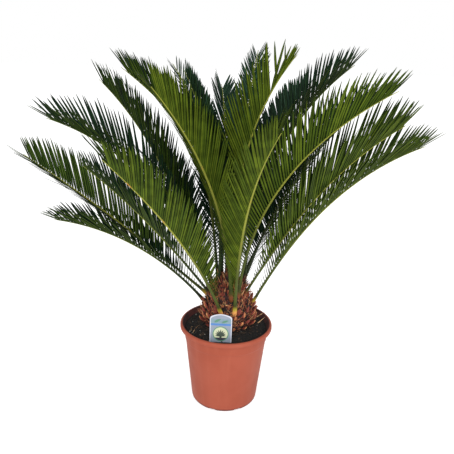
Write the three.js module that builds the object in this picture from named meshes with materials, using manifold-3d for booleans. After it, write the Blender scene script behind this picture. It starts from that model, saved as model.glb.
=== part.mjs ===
// Potted sago palm (Cycas revoluta): a nursery pot filled with soil, a short woolly trunk covered
// with old leaf bases, and a crown of arching feather-shaped fronds.
//
// Units are millimetres, +Z is up, and the origin is the middle of the pot's flat underside.
// Azimuths are degrees round +Z: 0 is +X, 90 is +Y.
// Every frond is one closed solid: a tapering rachis with leaf blades that are parted down to it.

import * as THREE from "three";
import Module from "manifold-3d";
import { mergeVertices } from "three/addons/utils/BufferGeometryUtils.js";

const wasm = await Module();
wasm.setup();

// ---------------------------------------------------------------- driving dimensions

const GAP = 0.3; // clearance between solids that touch on the plant

const POT = {
  height: 172,
  rimRadius: 95, // outside of the rolled lip
  shoulderRadius: 87.5, // wall just under the lip
  baseRadius: 69, // wall just above the rounded bottom edge
  edgeRound: 6, // radius of the bottom edge
  wall: 2.4,
  floor: 3,
  lipHeight: 9,
  lipGroove: 1.2, // depth of the step below the lip
  lipFlare: 5.5, // how far the inside opens out to the edge of the lip
  drains: 8,
  drainWidth: 15,
  drainHeight: 5,
  drainTurn: 2.5, // degrees that the ring of drains is turned
  facets: 40,
};

const SOIL = {
  level: 170, // of the mound that the trunk stands on
  dish: 7, // how far the soil drops from the mound to the wall
  facets: 32,
};

const TRUNK = {
  facets: 24,
  centre: [4, 0], // it stands a little to one side in its pot
  // radius at heights above the soil, from the flat cut up to the woolly tip
  profile: [
    [0, 55],
    [8, 57],
    [24, 54.5],
    [44, 48.5],
    [59, 42],
    [70, 35],
    [82, 28],
    [92, 20],
    [98, 11],
    [101, 0],
  ],
};

const STUB = {
  rows: 3,
  perRow: 13,
  firstHeight: 8, // above the soil
  rowPitch: 11.5,
  rise: 48, // degrees above level
  length: 14,
  root: [13, 8], // width and height where it leaves the trunk
  tip: [8.5, 4.5],
};

const TAG = {
  width: 43,
  height: 90, // to the top of its arch
  archRise: 4,
  corner: 4, // how far the rounded corners reach along the sides
  buried: 30,
  thickness: 1.1,
  position: [-10, -73],
  lean: 3, // degrees backwards, towards the trunk
  turn: -2,
};

// Where the petioles leave the trunk: radius and height of three rings of feet.
const RING = {
  low: { radius: 50, height: 214 },
  mid: { radius: 36.5, height: 240 },
  top: { radius: 20, height: 262 },
};

// One entry for each frond. foot is the azimuth of the place on its ring where it grows. azimuth and
// rise are its heading and steepness there, and length runs along the rachis. arch is how far it
// bends down and sweep how far it turns by its tip; lateness is 1 for an even bend and 2 for one
// that comes late. roll turns the frond about its rachis. leaf scales the blades on its right and
// on its left, and spread their angle to the rachis where they stand closer than usual.
const FRONDS = [
  {
    name: "left_low", ring: RING.low, foot: 166, azimuth: 167, rise: 46, length: 367,
    arch: 43, sweep: 8, lateness: 1, roll: 7, leaf: [0.85, 0.85],
  },
  {
    name: "left_main", ring: RING.low, foot: 138, azimuth: 171.5, rise: 38, length: 500,
    arch: 10.5, sweep: -6, lateness: 1.5, roll: -18, leaf: [1, 1],
  },
  {
    name: "left_high", ring: RING.mid, foot: 174, azimuth: 177, rise: 71.5, length: 484,
    arch: 56, sweep: 8, lateness: 1.3, roll: -9, leaf: [1.05, 1.05],
  },
  {
    name: "left_between", ring: RING.mid, foot: 200, azimuth: 190, rise: 53.5, length: 358,
    arch: 14, sweep: 0, lateness: 1.5, roll: -8, leaf: [0.75, 0.75],
  },
  {
    name: "left_front", ring: RING.low, foot: 258, azimuth: 240.5, rise: 62.5, length: 491,
    arch: 25, sweep: 3, lateness: 0.65, roll: -9, leaf: [1, 1], spread: 0.7,
  },
  {
    name: "left_back", ring: RING.mid, foot: 148, azimuth: 159, rise: 67.5, length: 492,
    arch: 30, sweep: 2, lateness: 2, roll: 20, leaf: [0.95, 0.95],
  },
  {
    name: "left_up", ring: RING.top, foot: 20, azimuth: 188.5, rise: 91, length: 492,
    arch: 56, sweep: 11, lateness: 0.9, roll: -2, leaf: [0.95, 0.95],
  },
  {
    name: "left_up_front", ring: RING.mid, foot: 283, azimuth: 222, rise: 87, length: 466,
    arch: 43, sweep: 2, lateness: 1, roll: 24, leaf: [1, 1], spread: 0.65,
  },
  {
    name: "left_up_back", ring: RING.mid, foot: 122, azimuth: 116, rise: 78, length: 430,
    arch: 44, sweep: 4, lateness: 1.5, roll: 0, leaf: [0.7, 0.7],
  },
  {
    name: "front", ring: RING.low, foot: 289, azimuth: 271, rise: 74.5, length: 480,
    arch: 36, sweep: 17, lateness: 1, roll: 30, leaf: [1, 1.05], spread: 0.56,
  },
  {
    name: "right_front", ring: RING.mid, foot: 308, azimuth: 323, rise: 86, length: 514,
    arch: 57, sweep: 27, lateness: 1, roll: -15, leaf: [1, 1],
  },
  {
    name: "right_low", ring: RING.low, foot: 356, azimuth: 2, rise: 63, length: 472,
    arch: 41, sweep: -9, lateness: 1.6, roll: 4, leaf: [1.05, 1.05],
  },
  {
    name: "right_mid", ring: RING.mid, foot: 344, azimuth: 345, rise: 62, length: 455,
    arch: 28, sweep: 0, lateness: 2, roll: 8, leaf: [1.15, 1.15],
  },
  {
    name: "right_up", ring: RING.mid, foot: 18, azimuth: 11, rise: 90, length: 514,
    arch: 54, sweep: -4, lateness: 1.3, roll: 5, leaf: [1, 1],
  },
  {
    name: "right_back", ring: RING.mid, foot: 50, azimuth: 30, rise: 64, length: 540,
    arch: 43, sweep: 6, lateness: 1.5, roll: 0, leaf: [1, 1],
  },
  {
    name: "right_up_back", ring: RING.mid, foot: 72, azimuth: 44, rise: 80, length: 480,
    arch: 44, sweep: 0, lateness: 1.5, roll: 0, leaf: [0.7, 0.7],
  },
  {
    name: "top_left", ring: RING.top, foot: 128, azimuth: 168, rise: 90, length: 446,
    arch: 36, sweep: 0, lateness: 1.5, roll: -40, leaf: [0.5, 0.6],
  },
  {
    name: "top_left_front", ring: RING.top, foot: 214, azimuth: 206, rise: 91, length: 430,
    arch: 30, sweep: 0, lateness: 1.5, roll: -20, leaf: [0.6, 0.6],
  },
  {
    name: "top_right", ring: RING.top, foot: 322, azimuth: 319, rise: 95, length: 475,
    arch: 49, sweep: 1, lateness: 1.5, roll: -5, leaf: [1, 0.45], spread: 0.75,
  },
  {
    name: "top_back", ring: RING.top, foot: 70, azimuth: 77.5, rise: 80, length: 522,
    arch: 42, sweep: 2, lateness: 1.5, roll: 0, leaf: [0.75, 0.55],
  },
  {
    name: "back_upright", ring: RING.mid, foot: 92, azimuth: 94, rise: 74, length: 460,
    arch: 29, sweep: 7, lateness: 1.5, roll: 16, leaf: [0.8, 0.85],
  },
  {
    name: "back_right", ring: RING.low, foot: 60, azimuth: 62, rise: 46, length: 460,
    arch: 36, sweep: 0, lateness: 1.5, roll: 0, leaf: [1, 1],
  },
  {
    name: "back_middle", ring: RING.low, foot: 92, azimuth: 92, rise: 42, length: 450,
    arch: 34, sweep: 0, lateness: 1.5, roll: 0, leaf: [1, 1],
  },
  {
    name: "back_left", ring: RING.low, foot: 116, azimuth: 120, rise: 44, length: 465,
    arch: 36, sweep: 0, lateness: 1.5, roll: 0, leaf: [1, 1],
  },
];

const RACHIS = {
  footDepth: 14, // how far the foot is carried back into the trunk before it is trimmed
  halfWidth: [4.4, 1.1], // at the foot and at the end
  halfHeight: [3.6, 0.9],
  halfEdge: [1.1, 0.6], // half the flat side that the blades grow from
  bareShare: 0.12, // petiole without leaflets, as a share of the length
  endShare: 0.94, // where the last blades grow
  bends: 96, // steps along which the curve is summed
};

const BLADE = {
  perSide: 13,
  length: 108,
  thickness: 1.6,
  midShare: 0.5, // how far out the widest part lies
  fullness: 0.74, // widest part, as a share of the room between neighbours
  vee: 42, // degrees that both rows rise above the frond's own plane
  trims: [1, 0.85, 0.7, 0.55, 0.4], // lengths tried where a blade would touch another frond
};

// How the leaflets change along the frond: [share of the length, value].
const BLADE_LENGTH = [
  [0.12, 0.16], [0.2, 0.42], [0.3, 0.7], [0.42, 0.92], [0.55, 1], [0.8, 0.85], [0.95, 0.5],
];
const BLADE_ANGLE = [[0.12, 58], [0.5, 45], [0.8, 38], [0.95, 30]];

const COLOUR = {
  pot: 0xb45c48,
  soil: 0x1c1613,
  trunk: 0x7a4a30,
  frond: 0x43591f,
  tag: 0xdfe8ec,
};

// ---------------------------------------------------------------- helpers

const radians = THREE.MathUtils.degToRad;
const mix = THREE.MathUtils.lerp;

// Reads a value from a list of [position, value] pairs, straight between them.
function along(pairs, position) {
  const last = pairs.length - 1;
  if (position <= pairs[0][0]) return pairs[0][1];
  for (let i = 0; i < last; i += 1) {
    const [p0, v0] = pairs[i];
    const [p1, v1] = pairs[i + 1];
    if (position <= p1) return mix(v0, v1, (position - p0) / (p1 - p0));
  }
  return pairs[last][1];
}

// A closed geometry as a manifold solid: shared vertices merged and empty triangles dropped.
function toSolid(geometry) {
  const bare = geometry.index ? geometry.clone() : geometry;
  bare.deleteAttribute("normal");
  bare.deleteAttribute("uv");
  const merged = mergeVertices(bare, 1e-4);
  const corners = merged.index.array;
  const kept = [];
  for (let i = 0; i < corners.length; i += 3) {
    const [a, b, c] = [corners[i], corners[i + 1], corners[i + 2]];
    if (a !== b && b !== c && c !== a) kept.push(a, b, c);
  }
  const vertProperties = new Float32Array(merged.attributes.position.array);
  const triVerts = new Uint32Array(kept);
  return new wasm.Manifold(new wasm.Mesh({ numProp: 3, vertProperties, triVerts }));
}

// A manifold solid as a three.js geometry.
function toGeometry(solid) {
  const mesh = solid.getMesh();
  const geometry = new THREE.BufferGeometry();
  geometry.setAttribute("position", new THREE.BufferAttribute(new Float32Array(mesh.vertProperties), 3));
  geometry.setIndex(new THREE.BufferAttribute(new Uint32Array(mesh.triVerts), 1));
  return geometry;
}

// A geometry from a list of points and a list of triangles.
function fromTriangles(points, triangles) {
  const geometry = new THREE.BufferGeometry();
  const positions = points.flatMap((point) => point.toArray());
  geometry.setAttribute("position", new THREE.Float32BufferAttribute(positions, 3));
  geometry.setIndex(triangles);
  return geometry;
}

// A solid of revolution round Z. The profile lists [radius, height] and closes on the axis.
function turned(profile, facets) {
  const points = profile.map(([radius, height]) => new THREE.Vector2(radius, height));
  const geometry = new THREE.LatheGeometry(points, facets);
  geometry.rotateX(Math.PI / 2);
  return toSolid(geometry);
}

// Points of a quarter round between two directions, as [radius, height] pairs.
function roundCorner(centreRadius, centreHeight, radius, fromDegrees, toDegrees, steps) {
  const points = [];
  for (let i = 0; i <= steps; i += 1) {
    const angle = radians(mix(fromDegrees, toDegrees, i / steps));
    points.push([centreRadius + radius * Math.cos(angle), centreHeight + radius * Math.sin(angle)]);
  }
  return points;
}

function boxesTouch(a, b) {
  return a.min.every((value, i) => value <= b.max[i]) && b.min.every((value, i) => value <= a.max[i]);
}

function meets(solid, box, other) {
  return boxesTouch(box, other.box) && !solid.intersect(other.solid).isEmpty();
}

function withBox(solid, frond) {
  const { min, max } = solid.boundingBox();
  return { solid, frond, box: { min: Array.from(min), max: Array.from(max) } };
}

// ---------------------------------------------------------------- pot and soil

function potInnerRadius(height) {
  const share = (height - POT.edgeRound) / (POT.height - POT.lipHeight - POT.edgeRound);
  return mix(POT.baseRadius, POT.shoulderRadius, share) - POT.wall;
}

function makePot() {
  const shoulder = POT.height - POT.lipHeight;
  const lipRound = (POT.rimRadius - POT.shoulderRadius) / 2;
  const outside = [
    [0, 0],
    ...roundCorner(POT.baseRadius - POT.edgeRound, POT.edgeRound, POT.edgeRound, -90, 0, 4),
    [POT.shoulderRadius - POT.lipGroove, shoulder - 3],
    [POT.shoulderRadius, shoulder],
    [POT.rimRadius - 1, shoulder + 0.8],
    [POT.rimRadius, shoulder + 2.2],
    ...roundCorner(POT.rimRadius - lipRound, POT.height - lipRound, lipRound, 0, 90, 4),
  ];
  const inside = [
    [potInnerRadius(shoulder) + POT.lipFlare, POT.height],
    [potInnerRadius(shoulder), shoulder - 2],
    [potInnerRadius(POT.edgeRound), POT.floor + 2],
    [potInnerRadius(POT.edgeRound) - 3, POT.floor],
    [0, POT.floor],
  ];
  let pot = turned([...outside, ...inside], POT.facets);
  for (let i = 0; i < POT.drains; i += 1) {
    const notch = new THREE.BoxGeometry(POT.wall * 6, POT.drainWidth, POT.drainHeight * 2);
    notch.translate(POT.baseRadius, 0, 0);
    notch.rotateZ(((i + 0.5) / POT.drains) * 2 * Math.PI + radians(POT.drainTurn));
    pot = pot.subtract(toSolid(notch));
  }
  return pot;
}

function makeSoil(tag) {
  const top = SOIL.level;
  const wallTop = top - SOIL.dish;
  const profile = [
    [0, POT.floor + GAP],
    [potInnerRadius(POT.edgeRound) - 3.6, POT.floor + GAP],
    [potInnerRadius(POT.edgeRound) - GAP, POT.floor + 2 + GAP],
    [potInnerRadius(wallTop) - GAP, wallTop],
    [TRUNK.profile[1][1] + 12, top - 1],
    [TRUNK.profile[1][1] + 2, top],
    [0, top],
  ];
  return turned(profile, SOIL.facets).subtract(tag);
}

// ---------------------------------------------------------------- tag

// An upright plate with an arched top, stuck in the soil; grow widens it for the slot.
function makeTag(grow) {
  const half = TAG.width / 2 + grow;
  const top = TAG.height + grow;
  const archFoot = top - TAG.archRise;
  const archHalf = half - TAG.corner;
  // the tangents at the ends of the arch meet above its middle and on the plate's sides
  const shoulder = archFoot - (2 * TAG.archRise * TAG.corner) / archHalf;
  const outline = new THREE.Shape();
  outline.moveTo(-half, -grow);
  outline.lineTo(half, -grow);
  outline.lineTo(half, shoulder - TAG.corner);
  outline.quadraticCurveTo(half, shoulder, archHalf, archFoot);
  outline.quadraticCurveTo(0, top + TAG.archRise, -archHalf, archFoot);
  outline.quadraticCurveTo(-half, shoulder, -half, shoulder - TAG.corner);
  outline.closePath();
  const depth = TAG.thickness + 2 * grow;
  const plate = new THREE.ExtrudeGeometry(outline, { depth, bevelEnabled: false, curveSegments: 8 });
  plate.translate(0, 0, -depth / 2);
  plate.rotateX(Math.PI / 2 - radians(TAG.lean));
  plate.rotateZ(radians(TAG.turn));
  plate.translate(TAG.position[0], TAG.position[1], SOIL.level - SOIL.dish - TAG.buried);
  return toSolid(plate);
}

// ---------------------------------------------------------------- trunk

// The trunk's outline from its flat cut to its tip, moved outwards by grow.
function trunkProfile(grow) {
  const foot = SOIL.level + GAP;
  const sides = TRUNK.profile.map(([height, radius]) => [
    radius ? radius + grow : 0,
    foot + height + (height ? grow : -grow),
  ]);
  return [[0, foot - grow], ...sides];
}

// The stump of one old leaf: a short tapering block that points up and outwards.
function stub(azimuth, height, grow) {
  const radius = along(TRUNK.profile, height) - 4;
  const corners = [];
  for (const [reach, size] of [[0, STUB.root], [STUB.length + grow, STUB.tip]]) {
    for (const [u, v] of [[-0.5, -0.5], [0.5, -0.5], [0.5, 0.5], [-0.5, 0.5]]) {
      corners.push(new THREE.Vector3(u * (size[0] + 2 * grow), v * (size[1] + 2 * grow), reach));
    }
  }
  const faces = [0, 2, 1, 0, 3, 2, 4, 5, 6, 4, 6, 7];
  for (let i = 0; i < 4; i += 1) {
    const j = (i + 1) % 4;
    faces.push(i, j, j + 4, i, j + 4, i + 4);
  }
  const geometry = fromTriangles(corners, faces);
  geometry.rotateX(-Math.PI / 2);
  geometry.rotateX(radians(STUB.rise));
  geometry.rotateZ(radians(azimuth) - Math.PI / 2);
  const heading = radians(azimuth);
  const [x, y] = TRUNK.centre;
  geometry.translate(x + radius * Math.cos(heading), y + radius * Math.sin(heading), SOIL.level + height);
  return toSolid(geometry);
}

// The trunk without its stubs, moved outwards by grow.
function bareTrunk(grow) {
  return turned(trunkProfile(grow), TRUNK.facets).translate([...TRUNK.centre, 0]);
}

function makeTrunk(obstacles) {
  let trunk = bareTrunk(0);
  for (let row = 0; row < STUB.rows; row += 1) {
    for (let i = 0; i < STUB.perRow; i += 1) {
      const azimuth = ((i + 0.5 * (row % 2)) / STUB.perRow) * 360;
      const height = STUB.firstHeight + row * STUB.rowPitch;
      const wide = withBox(stub(azimuth, height, 2 * GAP));
      if (obstacles.some((other) => meets(wide.solid, wide.box, other))) continue;
      trunk = trunk.add(stub(azimuth, height, 0));
    }
  }
  return trunk;
}

// ---------------------------------------------------------------- fronds

// Directions of a frond at a share of its length: forwards, up out of its plane, and to its right.
function headings(frond, share) {
  const bend = Math.max(share, 0) ** frond.lateness;
  const rise = radians(frond.rise - frond.arch * bend);
  const azimuth = radians(frond.azimuth + frond.sweep * bend);
  const level = Math.cos(rise);
  const climb = Math.sin(rise);
  const forward = new THREE.Vector3(level * Math.cos(azimuth), level * Math.sin(azimuth), climb);
  const up = new THREE.Vector3(-climb * Math.cos(azimuth), -climb * Math.sin(azimuth), level);
  up.applyAxisAngle(forward, radians(frond.roll));
  const right = new THREE.Vector3().crossVectors(forward, up);
  return { forward, up, right };
}

// Shares of the length at which the rachis has a cross-section.
function stationShares(frond) {
  const shares = [-RACHIS.footDepth / frond.length, 0, RACHIS.bareShare / 2];
  for (let i = 0; i <= BLADE.perSide; i += 1) {
    shares.push(mix(RACHIS.bareShare, RACHIS.endShare, i / BLADE.perSide));
  }
  return shares;
}

// The rachis curve, summed in short steps, with its cross-section at each station.
function makeStations(frond) {
  const foot = radians(frond.foot);
  const { radius, height } = frond.ring;
  const start = new THREE.Vector3(radius * Math.cos(foot), radius * Math.sin(foot), height);
  const path = [start];
  const step = 1 / RACHIS.bends;
  for (let i = 0; i < RACHIS.bends; i += 1) {
    const { forward } = headings(frond, (i + 0.5) * step);
    path.push(path[i].clone().addScaledVector(forward, step * frond.length));
  }
  const pointAt = (share) => {
    if (share <= 0) return start.clone().addScaledVector(headings(frond, 0).forward, share * frond.length);
    const place = share * RACHIS.bends;
    const index = Math.min(Math.floor(place), RACHIS.bends - 1);
    return path[index].clone().lerp(path[index + 1], place - index);
  };
  const stations = stationShares(frond).map((share) => {
    const middle = pointAt(share);
    const outline = section(frond, share, middle);
    const { leaf, spread = 1 } = frond;
    return { share, middle, leaf, spread, ...headings(frond, share), section: outline };
  });
  return { stations, tip: pointAt(1) };
}

// Six corners of the rachis, from the ridge on top round by the right.
function section(frond, share, middle) {
  const taper = Math.min(Math.max(share, 0) / RACHIS.endShare, 1);
  const width = mix(...RACHIS.halfWidth, taper);
  const height = mix(...RACHIS.halfHeight, taper);
  const edge = mix(...RACHIS.halfEdge, taper);
  const { up, right } = headings(frond, share);
  const corner = (u, v) => middle.clone().addScaledVector(right, u).addScaledVector(up, v);
  return [
    corner(0, height),
    corner(width, edge),
    corner(width, -edge),
    corner(0, -height),
    corner(-width, -edge),
    corner(-width, edge),
  ];
}

const RIGHT_FACE = 1; // corner of the section where the right-hand blades start
const LEFT_FACE = 4;

// The middle loop and the point of one blade. grow makes it larger on all sides.
function bladeShape(rear, front, hand, trim, grow) {
  const share = (rear.share + front.share) / 2;
  const angle = radians(along(BLADE_ANGLE, share) * rear.spread);
  const vee = radians(BLADE.vee);
  const forward = rear.forward.clone().add(front.forward).normalize();
  const up = rear.up.clone().add(front.up).normalize();
  const right = new THREE.Vector3().crossVectors(forward, up).multiplyScalar(hand);
  const out = right.clone().multiplyScalar(Math.cos(vee)).addScaledVector(up, Math.sin(vee));
  const reach = forward.clone().multiplyScalar(Math.cos(angle)).addScaledVector(out, Math.sin(angle));
  const across = out.clone().multiplyScalar(-Math.cos(angle)).addScaledVector(forward, Math.sin(angle));
  const face = new THREE.Vector3().crossVectors(reach, across).multiplyScalar(hand);
  const pitch = rear.middle.distanceTo(front.middle);
  const side = hand > 0 ? rear.leaf[0] : rear.leaf[1];
  const length = BLADE.length * side * along(BLADE_LENGTH, share) * trim + grow;
  const halfWidth = (pitch * Math.sin(angle) * BLADE.fullness) / 2 + grow;
  const halfThick = BLADE.thickness / 2 + grow;
  const first = hand > 0 ? RIGHT_FACE : LEFT_FACE;
  const root = [
    rear.section[first],
    rear.section[first + 1],
    front.section[first + 1],
    front.section[first],
  ];
  const rootMiddle = root.reduce((sum, corner) => sum.add(corner), new THREE.Vector3()).divideScalar(4);
  const middle = rootMiddle.clone().addScaledVector(reach, length * BLADE.midShare);
  const loop = [[-1, hand], [-1, -hand], [1, -hand], [1, hand]].map(([w, n]) =>
    middle.clone().addScaledVector(across, w * halfWidth).addScaledVector(face, n * halfThick),
  );
  return { root, loop, point: rootMiddle.clone().addScaledVector(reach, length) };
}

// Triangles of a blade from its root loop through its middle loop to its point.
function bladeTriangles(root, loop, point) {
  const triangles = [];
  for (let i = 0; i < 4; i += 1) {
    const j = (i + 1) % 4;
    triangles.push(root[i], root[j], loop[j], root[i], loop[j], loop[i], loop[i], loop[j], point);
  }
  return triangles;
}

// One blade as a closed solid of its own, for testing it against the other fronds.
function looseBlade(rear, front, hand, trim, grow) {
  const { root, loop, point } = bladeShape(rear, front, hand, trim, grow);
  const triangles = bladeTriangles([0, 1, 2, 3], [4, 5, 6, 7], 8);
  triangles.push(0, 2, 1, 0, 3, 2);
  return toSolid(fromTriangles([...root, ...loop, point], triangles));
}

// The whole frond. trims holds the length of each blade as a share, 0 where there is none.
function frondSolid({ stations, tip }, trims) {
  const points = stations.flatMap((station) => station.section);
  const triangles = [0, 5, 4, 0, 4, 3, 0, 3, 2, 0, 2, 1];
  const corner = (station, index) => station * 6 + (index % 6);
  const firstBlade = stations.length - 1 - BLADE.perSide;
  for (let k = 0; k < stations.length - 1; k += 1) {
    for (let i = 0; i < 6; i += 1) {
      const hand = i === RIGHT_FACE ? 1 : -1;
      const isSide = i === RIGHT_FACE || i === LEFT_FACE;
      const trim = isSide && k >= firstBlade ? trims[hand][k - firstBlade] : 0;
      const root = [corner(k, i), corner(k, i + 1), corner(k + 1, i + 1), corner(k + 1, i)];
      if (!trim) {
        triangles.push(root[0], root[1], root[3], root[1], root[2], root[3]);
        continue;
      }
      const { loop, point } = bladeShape(stations[k], stations[k + 1], hand, trim, 0);
      const base = points.length;
      points.push(...loop, point);
      triangles.push(...bladeTriangles(root, [base, base + 1, base + 2, base + 3], base + 4));
    }
  }
  const end = points.length;
  points.push(tip);
  for (let i = 0; i < 6; i += 1) {
    triangles.push(corner(stations.length - 1, i), corner(stations.length - 1, i + 1), end);
  }
  return toSolid(fromTriangles(points, triangles));
}

const noBlades = () => ({ 1: Array(BLADE.perSide).fill(0), [-1]: Array(BLADE.perSide).fill(0) });

// The longest length at which a blade stays clear of the trunk and of every other frond.
function fittingTrim(rear, front, hand, name, obstacles) {
  for (const trim of BLADE.trims) {
    const wide = withBox(looseBlade(rear, front, hand, trim, GAP));
    const blocked = obstacles.some(
      (other) => other.frond !== name && meets(wide.solid, wide.box, other),
    );
    if (!blocked) return trim;
  }
  return 0;
}

// All fronds together, because each blade keeps to the space that the others leave.
function makeFronds(grownTrunk) {
  const crown = FRONDS.map((frond) => ({ frond, curve: makeStations(frond), trims: noBlades() }));
  const obstacles = [withBox(grownTrunk, "trunk")];
  for (const { frond, curve, trims } of crown) {
    obstacles.push(withBox(frondSolid(curve, trims), frond.name));
  }
  for (let blade = BLADE.perSide - 1; blade >= 0; blade -= 1) {
    for (const { frond, curve, trims } of crown) {
      const k = curve.stations.length - 1 - BLADE.perSide + blade;
      const [rear, front] = [curve.stations[k], curve.stations[k + 1]];
      for (const hand of [1, -1]) {
        const trim = fittingTrim(rear, front, hand, frond.name, obstacles);
        trims[hand][blade] = trim;
        if (trim) obstacles.push(withBox(looseBlade(rear, front, hand, trim, 0), frond.name));
      }
    }
  }
  return crown.map(({ frond, curve, trims }) => ({
    name: `frond_${frond.name}`,
    solid: frondSolid(curve, trims).subtract(grownTrunk),
  }));
}

// ---------------------------------------------------------------- the assembly

const palm = new THREE.Group();

function place(name, solid, colour, roughness) {
  const material = new THREE.MeshStandardMaterial({ color: colour, roughness, metalness: 0 });
  const mesh = new THREE.Mesh(toGeometry(solid), material);
  mesh.name = name;
  palm.add(mesh);
}

const fronds = makeFronds(bareTrunk(GAP));
const tag = makeTag(0);
const trunk = makeTrunk([...fronds.map(({ solid }) => withBox(solid)), withBox(tag)]);

place("pot", makePot(), COLOUR.pot, 0.45);
place("soil", makeSoil(makeTag(GAP)), COLOUR.soil, 0.95);
place("tag", tag, COLOUR.tag, 0.4);
place("trunk", trunk, COLOUR.trunk, 0.9);
for (const { name, solid } of fronds) place(name, solid, COLOUR.frond, 0.6);

export default palm;
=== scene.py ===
"""Potted sago palm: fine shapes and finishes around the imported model.

The classes below hold their sizes in millimetres, as a drawing of the plant would, and mm()
turns them into Blender's metres. Places and overall sizes are read from the frame's own nodes.
Azimuths are degrees round +Z, where 0 is +X and 90 is +Y.
"""

from __future__ import annotations

import logging
import math
from collections.abc import Iterable, Sequence
from dataclasses import dataclass, field
from enum import Enum

import bpy
import numpy as np
from mathutils import Matrix, Vector

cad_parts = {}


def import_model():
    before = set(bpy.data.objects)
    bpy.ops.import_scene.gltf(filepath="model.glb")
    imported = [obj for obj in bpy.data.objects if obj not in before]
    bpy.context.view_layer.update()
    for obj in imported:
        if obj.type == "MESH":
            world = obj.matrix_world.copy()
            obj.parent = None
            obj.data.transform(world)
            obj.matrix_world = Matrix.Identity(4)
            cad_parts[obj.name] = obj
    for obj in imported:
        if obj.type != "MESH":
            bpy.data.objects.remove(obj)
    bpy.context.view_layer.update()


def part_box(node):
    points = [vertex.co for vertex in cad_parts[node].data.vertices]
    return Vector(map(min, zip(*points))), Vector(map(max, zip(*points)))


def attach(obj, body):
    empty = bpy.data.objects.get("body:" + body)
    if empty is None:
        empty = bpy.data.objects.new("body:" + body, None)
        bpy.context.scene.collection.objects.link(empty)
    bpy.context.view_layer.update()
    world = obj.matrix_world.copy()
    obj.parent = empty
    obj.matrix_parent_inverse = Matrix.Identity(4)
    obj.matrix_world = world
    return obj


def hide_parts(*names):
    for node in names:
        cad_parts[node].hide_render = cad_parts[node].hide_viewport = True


LOG = logging.getLogger("sago_palm")
MM = 0.001
BODY = "root"
Colour = tuple[float, float, float]
Stretch = tuple[float, float, float]
Profile = list[tuple[float, float]]
Material = bpy.types.Material
Object = bpy.types.Object
Socket = bpy.types.NodeSocket
Rng = np.random.Generator
RISE = (0.0, 0.0, 1.0)


def mm(length: float) -> float:
    """Returns a length in millimetres as Blender metres."""
    return length * MM


def srgb(red: int, green: int, blue: int) -> Colour:
    """Turns screen colour values into the linear ones that a shader takes.

    Args:
        red: Red from 0 to 255.
        green: Green from 0 to 255.
        blue: Blue from 0 to 255.

    Returns:
        The linear colour.
    """
    def linear(value: int) -> float:
        """Undoes the screen's curve for one value."""
        share = value / 255
        return share / 12.92 if share <= 0.04045 else ((share + 0.055) / 1.055) ** 2.4

    return linear(red), linear(green), linear(blue)


def along(pairs: Sequence[tuple[float, float]], place: np.ndarray) -> np.ndarray:
    """Reads values from (place, value) pairs, straight between them.

    Args:
        pairs: The named places and their values, in order.
        place: Where to read.

    Returns:
        The value at each place.
    """
    return np.interp(place, [pair[0] for pair in pairs], [pair[1] for pair in pairs])


def unit(vectors: np.ndarray) -> np.ndarray:
    """Returns the vectors at length 1."""
    return vectors / np.linalg.norm(vectors, axis=-1, keepdims=True)


def swing(
    first: np.ndarray, second: np.ndarray, angle: np.ndarray
) -> tuple[np.ndarray, np.ndarray]:
    """Turns pairs of square directions in their own plane, the first towards the second.

    Args:
        first: The first direction of each pair.
        second: The second direction of each pair.
        angle: Radians for each pair.

    Returns:
        The turned first and second directions.
    """
    cos, sin = np.cos(angle)[..., None], np.sin(angle)[..., None]
    return first * cos + second * sin, second * cos - first * sin


def round_the_axis(azimuth: np.ndarray) -> np.ndarray:
    """Returns the level directions at azimuths in radians."""
    return np.stack([np.cos(azimuth), np.sin(azimuth), 0 * azimuth], axis=-1)


# ---------------------------------------------------------------- shader nodes


class Value:
    """A number socket in a shader that takes arithmetic: each operator adds its Math node."""

    def __init__(self, shader: Shader, socket: Socket) -> None:
        """Wraps a socket.

        Args:
            shader: The shader that the socket belongs to.
            socket: The output socket that carries the number.
        """
        self.shader = shader
        self.socket = socket

    def _math(self, operation: str, first: Value | float, second: Value | float) -> Value:
        """Adds a Math node.

        Args:
            operation: The node's operation.
            first: Its first number.
            second: Its second number.

        Returns:
            The result.
        """
        node = self.shader.add("ShaderNodeMath", {"operation": operation}, {0: first, 1: second})
        return Value(self.shader, node.outputs[0])

    def __add__(self, other: Value | float) -> Value:
        """Returns this plus other."""
        return self._math("ADD", self, other)

    __radd__ = __add__

    def __mul__(self, other: Value | float) -> Value:
        """Returns this times other."""
        return self._math("MULTIPLY", self, other)

    __rmul__ = __mul__

    def ramp(self, low: float, high: float) -> Value:
        """Stretches this from low and high to 0 and 1, with soft ends.

        Args:
            low: What becomes 0.
            high: What becomes 1.

        Returns:
            The stretched value.
        """
        settings = {"interpolation_type": "SMOOTHSTEP"}
        inputs = {"Value": self, "From Min": low, "From Max": high}
        node = self.shader.add("ShaderNodeMapRange", settings, inputs)
        return Value(self.shader, node.outputs[0])


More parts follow.
